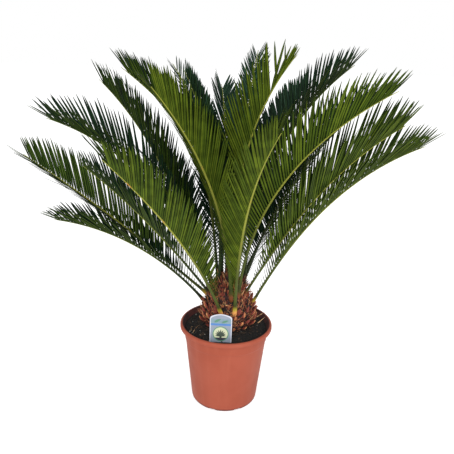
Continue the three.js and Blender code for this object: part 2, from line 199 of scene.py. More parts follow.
class Shader:
    """The node tree of one material, ending in a Principled surface."""

    def __init__(self, name: str) -> None:
        """Starts an empty material.

        Args:
            name: The material's name.
        """
        self.material = bpy.data.materials.new(name)
        self.material.use_nodes = True
        self.tree = self.material.node_tree
        self.tree.nodes.clear()
        self.surface = self.add("ShaderNodeBsdfPrincipled")
        self.add("ShaderNodeOutputMaterial", {}, {"Surface": self.surface.outputs["BSDF"]})

    def add(
        self, kind: str, settings: dict | None = None, inputs: dict | None = None
    ) -> bpy.types.Node:
        """Adds a node, sets it up, then fills its sockets.

        Args:
            kind: The node's type.
            settings: Attributes of the node; "stops" gives a colour ramp's places and colours.
            inputs: Numbers, colours, Values or output sockets by socket name or index.

        Returns:
            The node.
        """
        node = self.tree.nodes.new(kind)
        for key, setting in (settings or {}).items():
            if key == "stops":
                self._set_stops(node.color_ramp, setting)
            else:
                setattr(node, key, setting)
        for key, entry in (inputs or {}).items():
            self.feed(node.inputs[key], entry)
        return node

    @staticmethod
    def _set_stops(ramp: bpy.types.ColorRamp, stops: Sequence[tuple[float, Colour]]) -> None:
        """Gives a colour ramp its stops.

        Args:
            ramp: The ramp.
            stops: Places and colours, in order.
        """
        while len(ramp.elements) < len(stops):
            ramp.elements.new(1.0)
        for element, (place, colour) in zip(ramp.elements, stops):
            element.position = place
            element.color = (*colour, 1.0)

    def feed(self, socket: Socket, entry: object) -> None:
        """Sets or links one input socket.

        Args:
            socket: The input.
            entry: A number, a colour, a Value or an output socket.
        """
        if isinstance(entry, Value):
            self.tree.links.new(entry.socket, socket)
        elif isinstance(entry, Socket):
            self.tree.links.new(entry, socket)
        elif isinstance(entry, tuple) and socket.type == "RGBA":
            socket.default_value = (*entry, 1.0)
        else:
            socket.default_value = entry

    def set(self, **inputs: object) -> None:
        """Fills sockets of the surface; an underscore in a name stands for a space."""
        for key, entry in inputs.items():
            self.feed(self.surface.inputs[key.replace("_", " ")], entry)

    def place(self, stretch: Stretch = (1.0, 1.0, 1.0)) -> Socket:
        """Gives object coordinates, stretched.

        Args:
            stretch: The factor on each axis.

        Returns:
            The vector socket.
        """
        coordinates = self.add("ShaderNodeTexCoord").outputs["Object"]
        inputs = {"Vector": coordinates, "Scale": stretch}
        return self.add("ShaderNodeMapping", {}, inputs).outputs["Vector"]

    def part(self, vector: Socket, axis: str) -> Value:
        """Returns one of a vector socket's three numbers."""
        return Value(self, self.add("ShaderNodeSeparateXYZ", {}, {0: vector}).outputs[axis])

    def noise(self, scale: float, detail: float = 2.0, stretch: Stretch = (1.0, 1.0, 1.0)) -> Value:
        """Adds a noise over the object's own coordinates.

        Args:
            scale: Waves to the metre.
            detail: Octaves.
            stretch: The factor on each axis.

        Returns:
            The noise from 0 to 1.
        """
        inputs = {"Vector": self.place(stretch), "Scale": scale, "Detail": detail}
        return Value(self, self.add("ShaderNodeTexNoise", {}, inputs).outputs["Fac"])

    def blend(self, share: Value | float, first: object, second: object) -> Socket:
        """Mixes two colours.

        Args:
            share: How much of the second colour there is.
            first: A colour or a colour socket.
            second: A colour or a colour socket.

        Returns:
            The mixed colour's socket.
        """
        settings = {"data_type": "RGBA"}
        node = self.add("ShaderNodeMix", settings, {0: share, 6: first, 7: second})
        return node.outputs[2]

    def bump(self, height: Value, depth: float, strength: float = 1.0) -> None:
        """Roughens the surface's normal.

        Args:
            height: The relief from 0 to 1.
            depth: How deep 1 is, in millimetres.
            strength: Share of the relief that is used.
        """
        inputs = {"Height": height, "Distance": mm(depth), "Strength": strength}
        self.set(Normal=self.add("ShaderNodeBump", {}, inputs).outputs["Normal"])


# ---------------------------------------------------------------- finishes


@dataclass(frozen=True)
class MottledFinish:
    """A matt surface whose colour drifts between two tones, with a fine relief."""

    name: str
    light: Colour
    dark: Colour
    roughness: float = 0.8
    patch: float = 90.0  # patches to the metre
    relief: float = 0.0  # millimetres
    grain: float = 900.0  # relief waves to the metre
    coat: float = 0.0

    def build(self) -> Material:
        """Returns the material."""
        shader = Shader(self.name)
        drift = shader.noise(self.patch, 3.0).ramp(0.35, 0.65)
        shader.set(
            Base_Color=shader.blend(drift, self.dark, self.light),
            Roughness=self.roughness,
            Coat_Weight=self.coat,
        )
        if self.relief:
            shader.bump(shader.noise(self.grain, 4.0), self.relief)
        return shader.material


def graded(name: str, tones: Sequence[Colour], shade: float, *looks: float) -> list[Material]:
    """Makes one mottled material for each of several tones.

    Args:
        name: The start of the materials' names.
        tones: The light tone of each.
        shade: The dark tone's strength against the light one's.
        looks: The finish's roughness, patch and relief.

    Returns:
        The materials.
    """
    return [
        MottledFinish(f"{name}_{i}", tone, tuple(c * shade for c in tone), *looks).build()
        for i, tone in enumerate(tones)
    ]


@dataclass(frozen=True)
class LeafFinish:
    """One strip of a leaflet: a plain colour with a slight drift from leaflet to leaflet."""

    name: str
    colour: Colour
    roughness: float
    sheen: float = 0.03  # specular level
    drift: float = 0.2  # how much darker and lighter it gets
    patch: float = 55.0  # patches to the metre

    def build(self) -> Material:
        """Returns the material."""
        shader = Shader(self.name)
        dark = tuple(channel * (1 - self.drift) for channel in self.colour)
        light = tuple(channel * (1 + self.drift) for channel in self.colour)
        share = shader.noise(self.patch, 1.0).ramp(0.3, 0.7)
        shader.set(
            Base_Color=shader.blend(share, dark, light),
            Roughness=self.roughness,
            Specular_IOR_Level=self.sheen,
        )
        return shader.material


@dataclass(frozen=True)
class RachisFinish:
    """The leaf stalk: a swollen foot of its own colour, then green, then yellow-green.

    The stalk's UV map runs round it in U and from foot to tip in V.
    """

    name: str
    foot: Colour
    collar: Colour
    shade: Colour = srgb(44, 50, 22)
    petiole: Colour = srgb(62, 70, 28)
    tip: Colour = srgb(116, 118, 44)
    blotch: Colour = srgb(166, 104, 44)  # a few dry patches above the foot
    roughness: float = 0.5
    patch: float = 26.0  # patches to the metre
    streak: float = 420.0  # streaks to the metre
    relief: float = 0.15  # millimetres

    def build(self) -> Material:
        """Returns the material."""
        shader = Shader(self.name)
        height = shader.part(shader.add("ShaderNodeTexCoord").outputs["UV"], "Y")
        stops = [
            (0.012, self.foot),
            (0.026, self.collar),
            (0.046, self.shade),
            (0.08, self.petiole),
            (0.2, self.petiole),
            (0.5, self.tip),
            (1.0, self.tip),
        ]
        ramp = shader.add("ShaderNodeValToRGB", {"stops": stops}, {"Fac": height})
        patches = shader.noise(self.patch).ramp(0.66, 0.76) * height.ramp(0.25, 0.35)
        streaks = shader.noise(self.streak)
        shader.set(
            Base_Color=shader.blend(patches * 0.7, ramp.outputs["Color"], self.blotch),
            Roughness=self.roughness + streaks * 0.2,
            Specular_IOR_Level=0.1,
        )
        shader.bump(streaks, self.relief)
        return shader.material


@dataclass(frozen=True)
class PotFinish:
    """Moulded terracotta-coloured plastic: dull, faintly clouded and streaked."""

    name: str = "terracotta_plastic"
    colour: Colour = srgb(137, 65, 46)
    pale: Colour = srgb(146, 78, 59)
    deep: Colour = srgb(123, 54, 36)
    contact_shadow: Colour = srgb(72, 24, 18)  # painted contact shadow on the underside and the edge it stands on
    contact_shadow_from: float = 8.0  # height where it starts to darken, in millimetres
    contact_shadow_to: float = 2.0
    roughness: float = 0.55
    cloud: float = 14.0  # clouds to the metre
    streak: float = 60.0  # upright streaks to the metre
    grain: float = 1500.0  # grains to the metre
    relief: float = 0.06  # millimetres

    def build(self) -> Material:
        """Returns the material."""
        shader = Shader(self.name)
        clouds = shader.noise(self.cloud, 3.0).ramp(0.35, 0.7)
        streaks = shader.noise(self.streak, 2.0, (1.0, 1.0, 0.12)).ramp(0.45, 0.8)
        body = shader.blend(clouds * 0.4, self.colour, self.deep)
        body = shader.blend(streaks * 0.35, body, self.pale)
        # painted contact shadow: the plastic darkens towards the edge it stands on
        height = shader.part(shader.place(), "Z")
        above = height.ramp(mm(self.contact_shadow_to), mm(self.contact_shadow_from))
        body = shader.blend(above, self.contact_shadow, body)
        grain = shader.noise(self.grain)
        shader.set(
            Base_Color=body,
            Roughness=self.roughness + 0.1 * grain + 0.08 * clouds,
            Specular_IOR_Level=0.2,
        )
        shader.bump(grain, self.relief, 0.6)
        return shader.material


@dataclass(frozen=True)
class PlainFinish:
    """A smooth, evenly coloured surface with a trace of unevenness in its gloss."""

    name: str
    colour: Colour
    roughness: float = 0.35
    fade: float = 0.1  # how much duller its colour gets in places
    glow: float = 0.0
    cloud: float = 120.0  # clouds to the metre

    def build(self) -> Material:
        """Returns the material."""
        shader = Shader(self.name)
        clouds = shader.noise(self.cloud)
        dull = tuple(channel * (1 - self.fade) for channel in self.colour)
        shader.set(
            Base_Color=shader.blend(clouds.ramp(0.4, 0.8), self.colour, dull),
            Roughness=self.roughness + 0.12 * clouds,
            Emission_Color=(1.0, 1.0, 1.0),
            Emission_Strength=self.glow,
        )
        return shader.material


# ---------------------------------------------------------------- pieces


def add_piece(item: Object, slot: str, *nodes: str, smooth_angle: float | None = 35.0) -> Object:
    """Makes a finished object part of the plant.

    Args:
        item: The object, with its place in its mesh.
        slot: The record's material slot; not used.
        nodes: The CAD nodes that it stands for.
        smooth_angle: Degrees up to which neighbouring faces are shaded as one, or None.

    Returns:
        The object.
    """
    if smooth_angle is not None:
        select_only(item)
        bpy.ops.object.shade_smooth_by_angle(angle=math.radians(smooth_angle))
    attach(item, BODY)
    if nodes:
        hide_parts(*nodes)
    LOG.info("piece %s: %d faces", item.name, len(item.data.polygons))
    return item


def select_only(item: Object) -> None:
    """Makes one object the only selected and the active one.

    Args:
        item: The object.
    """
    bpy.ops.object.select_all(action="DESELECT")
    item.select_set(True)
    bpy.context.view_layer.objects.active = item


def from_arrays(
    name: str,
    points: np.ndarray,
    faces: Sequence[Sequence[int]],
    materials: Iterable[Material],
    face_slots: Sequence[int] | None = None,
    uv: np.ndarray | None = None,
) -> Object:
    """Makes a mesh object of many small parts.

    Args:
        name: The object's name.
        points: Corner places in millimetres.
        faces: Corner numbers of each face.
        materials: The object's materials.
        face_slots: The material number of each face.
        uv: A UV place for each corner point.

    Returns:
        The object.
    """
    mesh = bpy.data.meshes.new(name)
    mesh.from_pydata((points * MM).tolist(), [], faces)
    for material in materials:
        mesh.materials.append(material)
    if face_slots is not None:
        mesh.polygons.foreach_set("material_index", face_slots)
    if uv is not None:
        layer = mesh.uv_layers.new(name="UVMap")
        corners = np.empty(len(mesh.loops), dtype=np.int32)
        mesh.loops.foreach_get("vertex_index", corners)
        layer.data.foreach_set("uv", uv[corners].ravel())
    mesh.update()
    item = bpy.data.objects.new(name, mesh)
    bpy.context.scene.collection.objects.link(item)
    return item


def turn_by_extrusion(name: str, profile: Profile, sides: int) -> Object:
    """Models a closed turned shape: a disc whose face is extruded and scaled ring by ring.

    Args:
        name: The object's name.
        profile: Radius and height of each ring in millimetres, from the first disc to the last.
        sides: Corners of each ring.

    Returns:
        The object, with its place in its mesh.
    """
    radius, height = profile[0]
    bpy.ops.object.select_all(action="DESELECT")
    bpy.ops.mesh.primitive_circle_add(vertices=sides, radius=mm(radius), fill_type="NGON")
    item = bpy.context.object
    item.name = name
    item.data.name = name
    bpy.ops.object.mode_set(mode="EDIT")
    bpy.ops.mesh.select_all(action="SELECT")
    bpy.ops.transform.translate(value=(0.0, 0.0, mm(height)))
    for next_radius, next_height in profile[1:]:
        lift = (0.0, 0.0, mm(next_height - height))
        bpy.ops.mesh.extrude_region_move(TRANSFORM_OT_translate={"value": lift})
        size = next_radius / radius
        bpy.ops.transform.resize(value=(size, size, 1.0))
        radius, height = next_radius, next_height
    bpy.ops.mesh.select_all(action="SELECT")
    bpy.ops.mesh.normals_make_consistent(inside=False)
    bpy.ops.object.mode_set(mode="OBJECT")
    return item


def strung(start: np.ndarray, *moves: tuple[np.ndarray, np.ndarray]) -> np.ndarray:
    """Places the stations of many slim bodies.

    Args:
        start: Where each body starts.
        moves: Directions by body, each with its distances by body and station.

    Returns:
        Places by body and station.
    """
    places = start[:, None]
    for direction, distance in moves:
        places = places + direction[:, None] * distance[..., None]
    return places


def swept_points(
    spine: np.ndarray,
    across: np.ndarray,
    face: np.ndarray,
    half: np.ndarray,
    section: Sequence[tuple[float, float]],
) -> np.ndarray:
    """Places the corners of many slim bodies that share one section.

    Args:
        spine: Middle places by body and station; the last one is the middle of the body's end.
        across: Direction of the section's first axis, by body.
        face: Direction of its second axis, by body.
        half: Half widths by body and station, without the last one.
        section: Corners of the section, as shares of the half width.

    Returns:
        Corner places by body and corner.
    """
    corners = np.array(section)
    rings = (
        spine[:, :-1, None]
        + across[:, None, None] * (half[..., None] * corners[:, 0])[..., None]
        + face[:, None, None] * (half[..., None] * corners[:, 1])[..., None]
    )
    return np.concatenate([rings.reshape(len(spine), -1, 3), spine[:, -1:]], axis=1)


def swept_faces(
    bodies: int, stations: int, corners: int
) -> tuple[list[list[int]], np.ndarray, np.ndarray]:
    """Lists the faces of such bodies: a cap, bands of four-sided faces and a fan at the end.

    Args:
        bodies: How many bodies there are.
        stations: Rings of each body.
        corners: Corners of each ring.

    Returns:
        Corner numbers of every face, and for the faces of one body the band from 0 at its cap
        and the side of the section.
    """
    end = corners * stations
    faces = [list(range(corners))]
    bands, sides = [0], [0]
    for k in range(stations):
        for i in range(corners):
            j = (i + 1) % corners
            rear, ahead = k * corners, (k + 1) * corners
            if k == stations - 1:
                faces.append([rear + j, rear + i, end])
            else:
                faces.append([rear + j, rear + i, ahead + i, ahead + j])
            bands.append(k + 1)
            sides.append(i)
    every = [
        [corner + base for corner in face]
        for base in range(0, bodies * (end + 1), end + 1)
        for face in faces
    ]
    return every, np.array(bands), np.array(sides)


def lay_fibres(
    name: str,
    start: np.ndarray,
    reach: np.ndarray,
    lengths: tuple[float, float],
    halves: tuple[float, float],
    materials: Sequence[Material],
    rng: Rng,
    curl: float = 0.16,
) -> Object:
    """Makes thin curved fibres that taper to a point.

    Args:
        name: The object's name.
        start: Where each fibre starts.
        reach: Its heading.
        lengths: Shortest and longest length.
        halves: Smallest and largest half width.
        materials: Finishes that are dealt out by fibre.
        rng: The random draw.
        curl: How far a fibre strays sideways, as a share of its length.

    Returns:
        The object.
    """
    count = len(start)
    side = unit(np.cross(reach, np.array(RISE)))
    face = np.cross(side, reach)
    stations = 6
    steps = np.linspace(0.0, 1.0, stations + 1)
    length = rng.uniform(*lengths, count)[:, None]
    bow = length * rng.normal(0.0, curl, count)[:, None]
    lift = length * rng.normal(0.0, curl * 0.4, count)[:, None]
    spine = strung(
        start,
        (reach, length * steps),
        (side, bow * (steps - steps**2) * 2),
        (face, lift * steps**2),
    )
    half = np.linspace(1.0, 0.5, stations) * rng.uniform(*halves, count)[:, None]
    section = ((-1.0, -0.6), (0.0, 1.0), (1.0, -0.6))
    points = swept_points(spine, side, face, half, section)
    faces, bands, _ = swept_faces(count, stations, len(section))
    slots = np.repeat(rng.integers(0, len(materials), count), len(bands))
    return from_arrays(name, points.reshape(-1, 3), faces, materials, slots)


def quarter_round(
    centre: tuple[float, float], radius: float, start: float, end: float, steps: int
) -> Profile:
    """Lists the rings of a rounded edge.

    Args:
        centre: Radius and height of the round's centre, in millimetres.
        radius: The round's own radius.
        start: Degrees at its first ring, where 0 is outwards and 90 is up.
        end: Degrees at its last ring.
        steps: Spaces between its rings.

    Returns:
        The rings.
    """
    angles = [math.radians(start + (end - start) * i / steps) for i in range(steps + 1)]
    return [
        (centre[0] + radius * math.cos(angle), centre[1] + radius * math.sin(angle))
        for angle in angles
    ]


# ---------------------------------------------------------------- fronds


class Ring(Enum):
    """Rings of the trunk where petioles grow: radius and height in millimetres."""

    LOW = (50.0, 214.0)
    MID = (36.5, 240.0)
    TOP = (20.0, 262.0)


class Age(Enum):
    """How old a frond is, which sets its greens, partly as painted light and shade."""

    # FRESH also lifts a frond that lies in shade: painted light
    FRESH = "fresh"
    GROWN = "grown"
    # OLD also darkens fronds deep in the crown: painted shade
    OLD = "old"
    SHADED = "shaded"  # grown upright behind the others, with broad leaflets; its dark bluish greens are painted shade and painted sky reflection


@dataclass(frozen=True)
class FrondPlan:
    """Where a frond grows and how it arches; the angles are in degrees."""

    name: str
    ring: Ring
    azimuth: float
    rise: float
    arch: float
    length: float
    sweep: float
    foot: float
    roll: float
    lateness: float  # 1 for an even bend, 2 for one that comes late
    right_leaf: float  # length of the leaflets on its right, against the longest kind
    left_leaf: float
    age: Age
    spread: float = 1.0  # leaflet angles against the usual ones
    furled: float = 1.0  # share of the length past which the leaflets still hug the rachis


# name, ring, azimuth, rise, arch, length, sweep, foot, roll, lateness, right_leaf, left_leaf,
# age, spread, furled
FROND_PLANS = (
    FrondPlan("left_low", Ring.LOW, 167, 46, 43, 367, 8, 166, 7, 1, 0.85, 0.85, Age.OLD),
    FrondPlan("left_main", Ring.LOW, 171.5, 38, 10.5, 500, -6, 138, -18, 1.5, 1, 1, Age.GROWN),
    FrondPlan("left_high", Ring.MID, 177, 71.5, 56, 484, 8, 174, -9, 1.3, 1.05, 1.05, Age.OLD),
    FrondPlan("left_between", Ring.MID, 190, 53.5, 14, 358, 0, 200, -8, 1.5, 0.75, 0.75, Age.OLD),
    FrondPlan("left_front", Ring.LOW, 240.5, 62.5, 25, 491, 3, 258, -9, 0.65, 1, 1, Age.GROWN,
              0.7),
    FrondPlan("left_back", Ring.MID, 159, 67.5, 30, 492, 2, 148, 20, 2, 0.95, 0.95, Age.OLD),
    FrondPlan("left_up", Ring.TOP, 188.5, 91, 56, 492, 11, 20, -2, 0.9, 0.95, 0.95, Age.OLD),
    FrondPlan("left_up_front", Ring.MID, 222, 87, 43, 466, 2, 283, 24, 1, 1, 1, Age.FRESH,
              0.65),
    FrondPlan("left_up_back", Ring.MID, 116, 78, 44, 430, 4, 122, 0, 1.5, 0.7, 0.7, Age.SHADED),
    FrondPlan("front", Ring.LOW, 271, 74.5, 36, 480, 17, 289, 30, 1, 1, 1.05, Age.FRESH, 0.56),
    FrondPlan("right_front", Ring.MID, 323, 86, 57, 514, 27, 308, -15, 1, 1, 1, Age.GROWN),
    FrondPlan("right_low", Ring.LOW, 2, 63, 41, 472, -9, 356, 4, 1.6, 1.05, 1.05, Age.GROWN),
    FrondPlan("right_mid", Ring.MID, 345, 62, 28, 455, 0, 344, 8, 2, 1.15, 1.15, Age.GROWN),
    FrondPlan("right_up", Ring.MID, 11, 90, 54, 514, -4, 18, 5, 1.3, 1, 1, Age.OLD),
    FrondPlan("right_back", Ring.MID, 30, 64, 43, 540, 6, 50, 0, 1.5, 1, 1, Age.OLD),
    FrondPlan("right_up_back", Ring.MID, 44, 80, 44, 480, 0, 72, 0, 1.5, 0.7, 0.7, Age.SHADED),
    FrondPlan("top_left", Ring.TOP, 168, 90, 36, 446, 0, 128, -40, 1.5, 0.5, 0.6, Age.SHADED),
    FrondPlan("top_left_front", Ring.TOP, 206, 91, 30, 430, 0, 214, -20, 1.5, 0.6, 0.6,
              Age.SHADED),
    FrondPlan("top_right", Ring.TOP, 319, 95, 49, 475, 1, 322, -5, 1.5, 1, 0.45, Age.FRESH,
              0.75, 0.79),
    FrondPlan("top_back", Ring.TOP, 77.5, 80, 42, 522, 2, 70, 0, 1.5, 0.75, 0.55, Age.SHADED),
    FrondPlan("back_upright", Ring.MID, 94, 74, 29, 460, 7, 92, 16, 1.5, 0.8, 0.85, Age.SHADED),
    FrondPlan("back_right", Ring.LOW, 62, 46, 36, 460, 0, 60, 0, 1.5, 1, 1, Age.OLD),
    FrondPlan("back_middle", Ring.LOW, 92, 42, 34, 450, 0, 92, 0, 1.5, 1, 1, Age.OLD),
    FrondPlan("back_left", Ring.LOW, 120, 44, 36, 465, 0, 116, 0, 1.5, 1, 1, Age.OLD),
)


class FrondCurve:
    """The line of a frond's rachis and the directions along it."""

    BENDS = 96  # steps along which the curve is summed

    def __init__(self, plan: FrondPlan) -> None:
        """Sums the curve from the foot to the tip.

        Args:
            plan: The frond's plan.
        """
        self.plan = plan
        foot = math.radians(plan.foot)
        radius, height = plan.ring.value
        start = np.array([radius * math.cos(foot), radius * math.sin(foot), height])
        middles = (np.arange(self.BENDS) + 0.5) / self.BENDS
        steps = self.headings(middles)[0] * (plan.length / self.BENDS)
        self.points = np.vstack([start, start + np.cumsum(steps, axis=0)])

    def headings(self, share: np.ndarray) -> tuple[np.ndarray, np.ndarray, np.ndarray]:
        """Gives the directions of the frond along its length.

        Args:
            share: Shares of the length.

        Returns:
            The directions forwards, up out of the frond's plane, and to its right.
        """
        bend = np.clip(share, 0.0, None) ** self.plan.lateness
        rise = np.radians(self.plan.rise - self.plan.arch * bend)
        azimuth = np.radians(self.plan.azimuth + self.plan.sweep * bend)
        level, climb = np.cos(rise), np.sin(rise)
        forward = np.stack([level * np.cos(azimuth), level * np.sin(azimuth), climb], axis=-1)
        flat_up = np.stack([-climb * np.cos(azimuth), -climb * np.sin(azimuth), level], axis=-1)
        flat_right = np.cross(forward, flat_up)
        roll = math.radians(self.plan.roll)
        up = flat_up * math.cos(roll) + flat_right * math.sin(roll)
        return forward, up, np.cross(forward, up)

    def point(self, share: np.ndarray) -> np.ndarray:
        """Gives places on the curve.

        Args:
            share: Shares of the length; below 0 the curve runs straight back.

        Returns:
            The places in millimetres.
        """
        grid = np.linspace(0.0, 1.0, self.BENDS + 1)
        inside = np.stack([np.interp(share, grid, self.points[:, i]) for i in range(3)], axis=-1)
        back = np.minimum(share, 0.0)[..., None] * self.plan.length
        return inside + back * self.headings(np.zeros(1))[0][0]


@dataclass
class LeafletRows:
    """The two rows of leaflets on a frond, each a slim blade with its own small strayings."""

    spacing: float = 6.4
    length: float = 108.0
    width: float = 4.7
    broad: float = 1.5  # width of shaded fronds' leaflets against the others'
    full_width_from: float = 75.0  # leaflets shorter than this are narrower too
    slimmest: float = 0.3  # width of the shortest ones against the full width
    sunk: float = 0.7  # where a leaflet's root lies in the stalk, from its middle to its side
    first: float = 0.035  # share of the frond's length where short spines start the rows
    last: float = 0.95
    vee: float = 42.0  # degrees that both rows rise above the frond's own plane
    furling: float = 0.06  # share of the frond's length over which it furls
    hugging: float = 4.0  # angle of furled leaflets to the rachis
    loose: float = 0.12  # share of the furled leaflets that have come away
    loose_angle: float = 36.0
    past_tip: float = 5.0  # how far furled leaflets may reach past the rachis
    place_straying: float = 0.12  # either way, as a share of the spacing
    angle_straying: float = 0.9  # this and the next three are spreads of a normal draw
    vee_straying: float = 1.6
    tilt_straying: float = 5.0
    length_straying: float = 0.03
    bow: tuple = (0.05, 0.02)  # bend towards the tip, as a share of the length: mean and spread
    sag: tuple = (0.03, 0.03)  # bend towards the underside
    seed: int = 11
    # shares of the frond's length with leaflet lengths, then with leaflet angles
    lengths: tuple = ((0.035, 0.03), (0.085, 0.07), (0.12, 0.16), (0.2, 0.42), (0.3, 0.7),
                      (0.42, 0.92), (0.55, 1.0), (0.8, 0.85), (0.95, 0.5))
    angles: tuple = ((0.12, 58.0), (0.5, 45.0), (0.8, 38.0), (0.95, 30.0))
    # half width along a leaflet, as a share of its widest half
    outline: tuple = ((0.0, 0.62), (0.06, 0.86), (0.25, 1.0), (0.6, 0.96), (0.85, 0.62),
                      (0.97, 0.2))
    # a leaflet's section: across and up, as shares of its half width, from the left edge
    top: tuple = ((-1.0, -0.16), (-0.52, 0.06), (0.0, -0.07), (0.52, 0.06), (1.0, -0.16))
    under: tuple = ((0.6, -0.14), (0.0, -0.3), (-0.6, -0.14))
    # edge and middle of the upper side are 0 and 1, those of the underside 2 and 3
    strips: tuple = (0, 1, 1, 0, 2, 3, 3, 2)

    def build(self, curve: FrondCurve, number: int, materials: Sequence[Material]) -> Object:
        """Makes all leaflets of one frond as one mesh.

        Args:
            curve: The rachis.
            number: The frond's place in the crown, for its own random draw.
            materials: Edge and two middle materials for the upper side, then for the underside.

        Returns:
            The object.
        """
        rng = np.random.default_rng(self.seed + number)
        plan = curve.plan
        count = int((self.last - self.first) * plan.length / self.spacing)
        blocks = []
        for hand in (1.0, -1.0):
            share = np.linspace(self.first, self.last, count)
            stray = rng.uniform(-self.place_straying, self.place_straying, count)
            share = share + stray * (self.spacing / plan.length)
            blocks.append(self._row(curve, share, hand, rng))
        points = np.concatenate(blocks)
        size = len(self.top) + len(self.under)
        faces, bands, sides = swept_faces(len(points), len(self.outline), size)
        strips = np.where(bands == 0, 2, np.array(self.strips)[sides])
        tones = rng.integers(1, 3, len(points))
        slots = (strips[None, :] // 2 * 3 + strips[None, :] % 2 * tones[:, None]).ravel()
        name = f"leaflets_{plan.name}"
        return from_arrays(name, points.reshape(-1, 3), faces, materials, slots)

    def _row(self, curve: FrondCurve, share: np.ndarray, hand: float, rng: Rng) -> np.ndarray:
        """Places the corners of one row of leaflets.

        Args:
            curve: The rachis.
            share: Where each leaflet grows.
            hand: 1 for the right-hand row and -1 for the left-hand one.
            rng: The random draw.

        Returns:
            Corner places by leaflet and corner.
        """
        plan, count = curve.plan, len(share)
        forward, up, right = curve.headings(share)
        furled = np.clip((share - plan.furled) / self.furling, 0.0, 1.0)
        hugging = np.where(rng.random(count) < self.loose, self.loose_angle, self.hugging)
        spread = along(self.angles, share) * plan.spread * (1 - furled) + hugging * furled
        angle = np.radians(spread + rng.normal(0.0, self.angle_straying, count))
        vee = np.radians(self.vee + rng.normal(0.0, self.vee_straying, count))
        out, _ = swing(hand * right, up, vee)
        reach, outer = swing(forward, out, angle)
        face = unit(np.cross(reach, -outer)) * hand
        tilt = np.radians(rng.normal(0.0, self.tilt_straying, count))
        across, face = swing(-outer, face, tilt)
        side = plan.right_leaf if hand > 0 else plan.left_leaf
        length = self.length * side * along(self.lengths, share)
        length = length * rng.normal(1.0, self.length_straying, count)
        ahead = (1 - share) * plan.length + self.past_tip
        length = np.where(furled > 0, np.minimum(length, ahead), length)
        broad = self.broad if plan.age is Age.SHADED else 1.0
        width = self.width * broad * np.clip(length / self.full_width_from, self.slimmest, 1.0)
        beside = hand * RachisForm().half_width(share) * self.sunk
        root = curve.point(share) + right * beside[:, None]
        steps, halves = np.array(self.outline).T
        steps = np.append(steps, 1.0)
        bow = (length * rng.normal(*self.bow, count))[:, None]
        sag = (length * rng.normal(*self.sag, count))[:, None]
        spine = strung(
            root,
            (reach, length[:, None] * steps),
            (forward, bow * steps**2),
            (face, -sag * steps**2),
        )
        half = (width / 2)[:, None] * halves
        return swept_points(spine, across * hand, face, half, self.top + self.under)


@dataclass
class RachisForm:
    """The stalk that carries the leaflets, with its swollen foot."""

    foot_depth: float = 10.0  # how far it runs back into the trunk
    end: float = 0.985  # share of the rachis's length where it ends
    flat: float = 0.62  # height of its flat upper side against a round one's
    stations: int = 64
    corners: int = 10
    # half widths and half heights at shares of the length
    widths: tuple = ((-0.022, 0.8), (-0.01, 4.6), (0.002, 6.2), (0.018, 5.0), (0.05, 3.5),
                     (0.12, 3.1), (0.5, 2.2), (0.94, 1.0), (1.0, 0.5))
    heights: tuple = ((-0.022, 0.6), (-0.01, 3.0), (0.002, 4.2), (0.018, 3.8), (0.05, 3.0),
                      (0.12, 2.8), (0.5, 2.0), (0.94, 0.9), (1.0, 0.45))

    def half_width(self, share: np.ndarray) -> np.ndarray:
        """Returns half the stalk's width at shares of its length."""
        return along(self.widths, share)

    def build(self, curve: FrondCurve, material: Material) -> Object:
        """Makes the stalk of one frond.

        Args:
            curve: The rachis line.
            material: The stalk's finish.

        Returns:
            The object.
        """
        plan = curve.plan
        share = np.linspace(-self.foot_depth / plan.length, self.end, self.stations)
        _, up, right = curve.headings(share)
        turn = np.linspace(0.0, math.tau, self.corners, endpoint=False)
        wide = self.half_width(share)[:, None] * np.sin(turn)
        high = along(self.heights, share)[:, None] * np.minimum(np.cos(turn), self.flat)
        rings = strung(curve.point(share), (right, wide), (up, high))
        size = self.corners
        faces = [list(range(size - 1, -1, -1))]
        for k in range(self.stations - 1):
            for i in range(size):
                j = (i + 1) % size
                faces.append([k * size + i, k * size + j, (k + 1) * size + j, (k + 1) * size + i])
        faces.append([(self.stations - 1) * size + i for i in range(size)])
        round_it = np.tile(turn / math.tau, self.stations)
        uv = np.stack([round_it, np.repeat(np.clip(share, 0, 1), size)], axis=-1)
        return from_arrays(f"rachis_{plan.name}", rings.reshape(-1, 3), faces, [material], uv=uv)


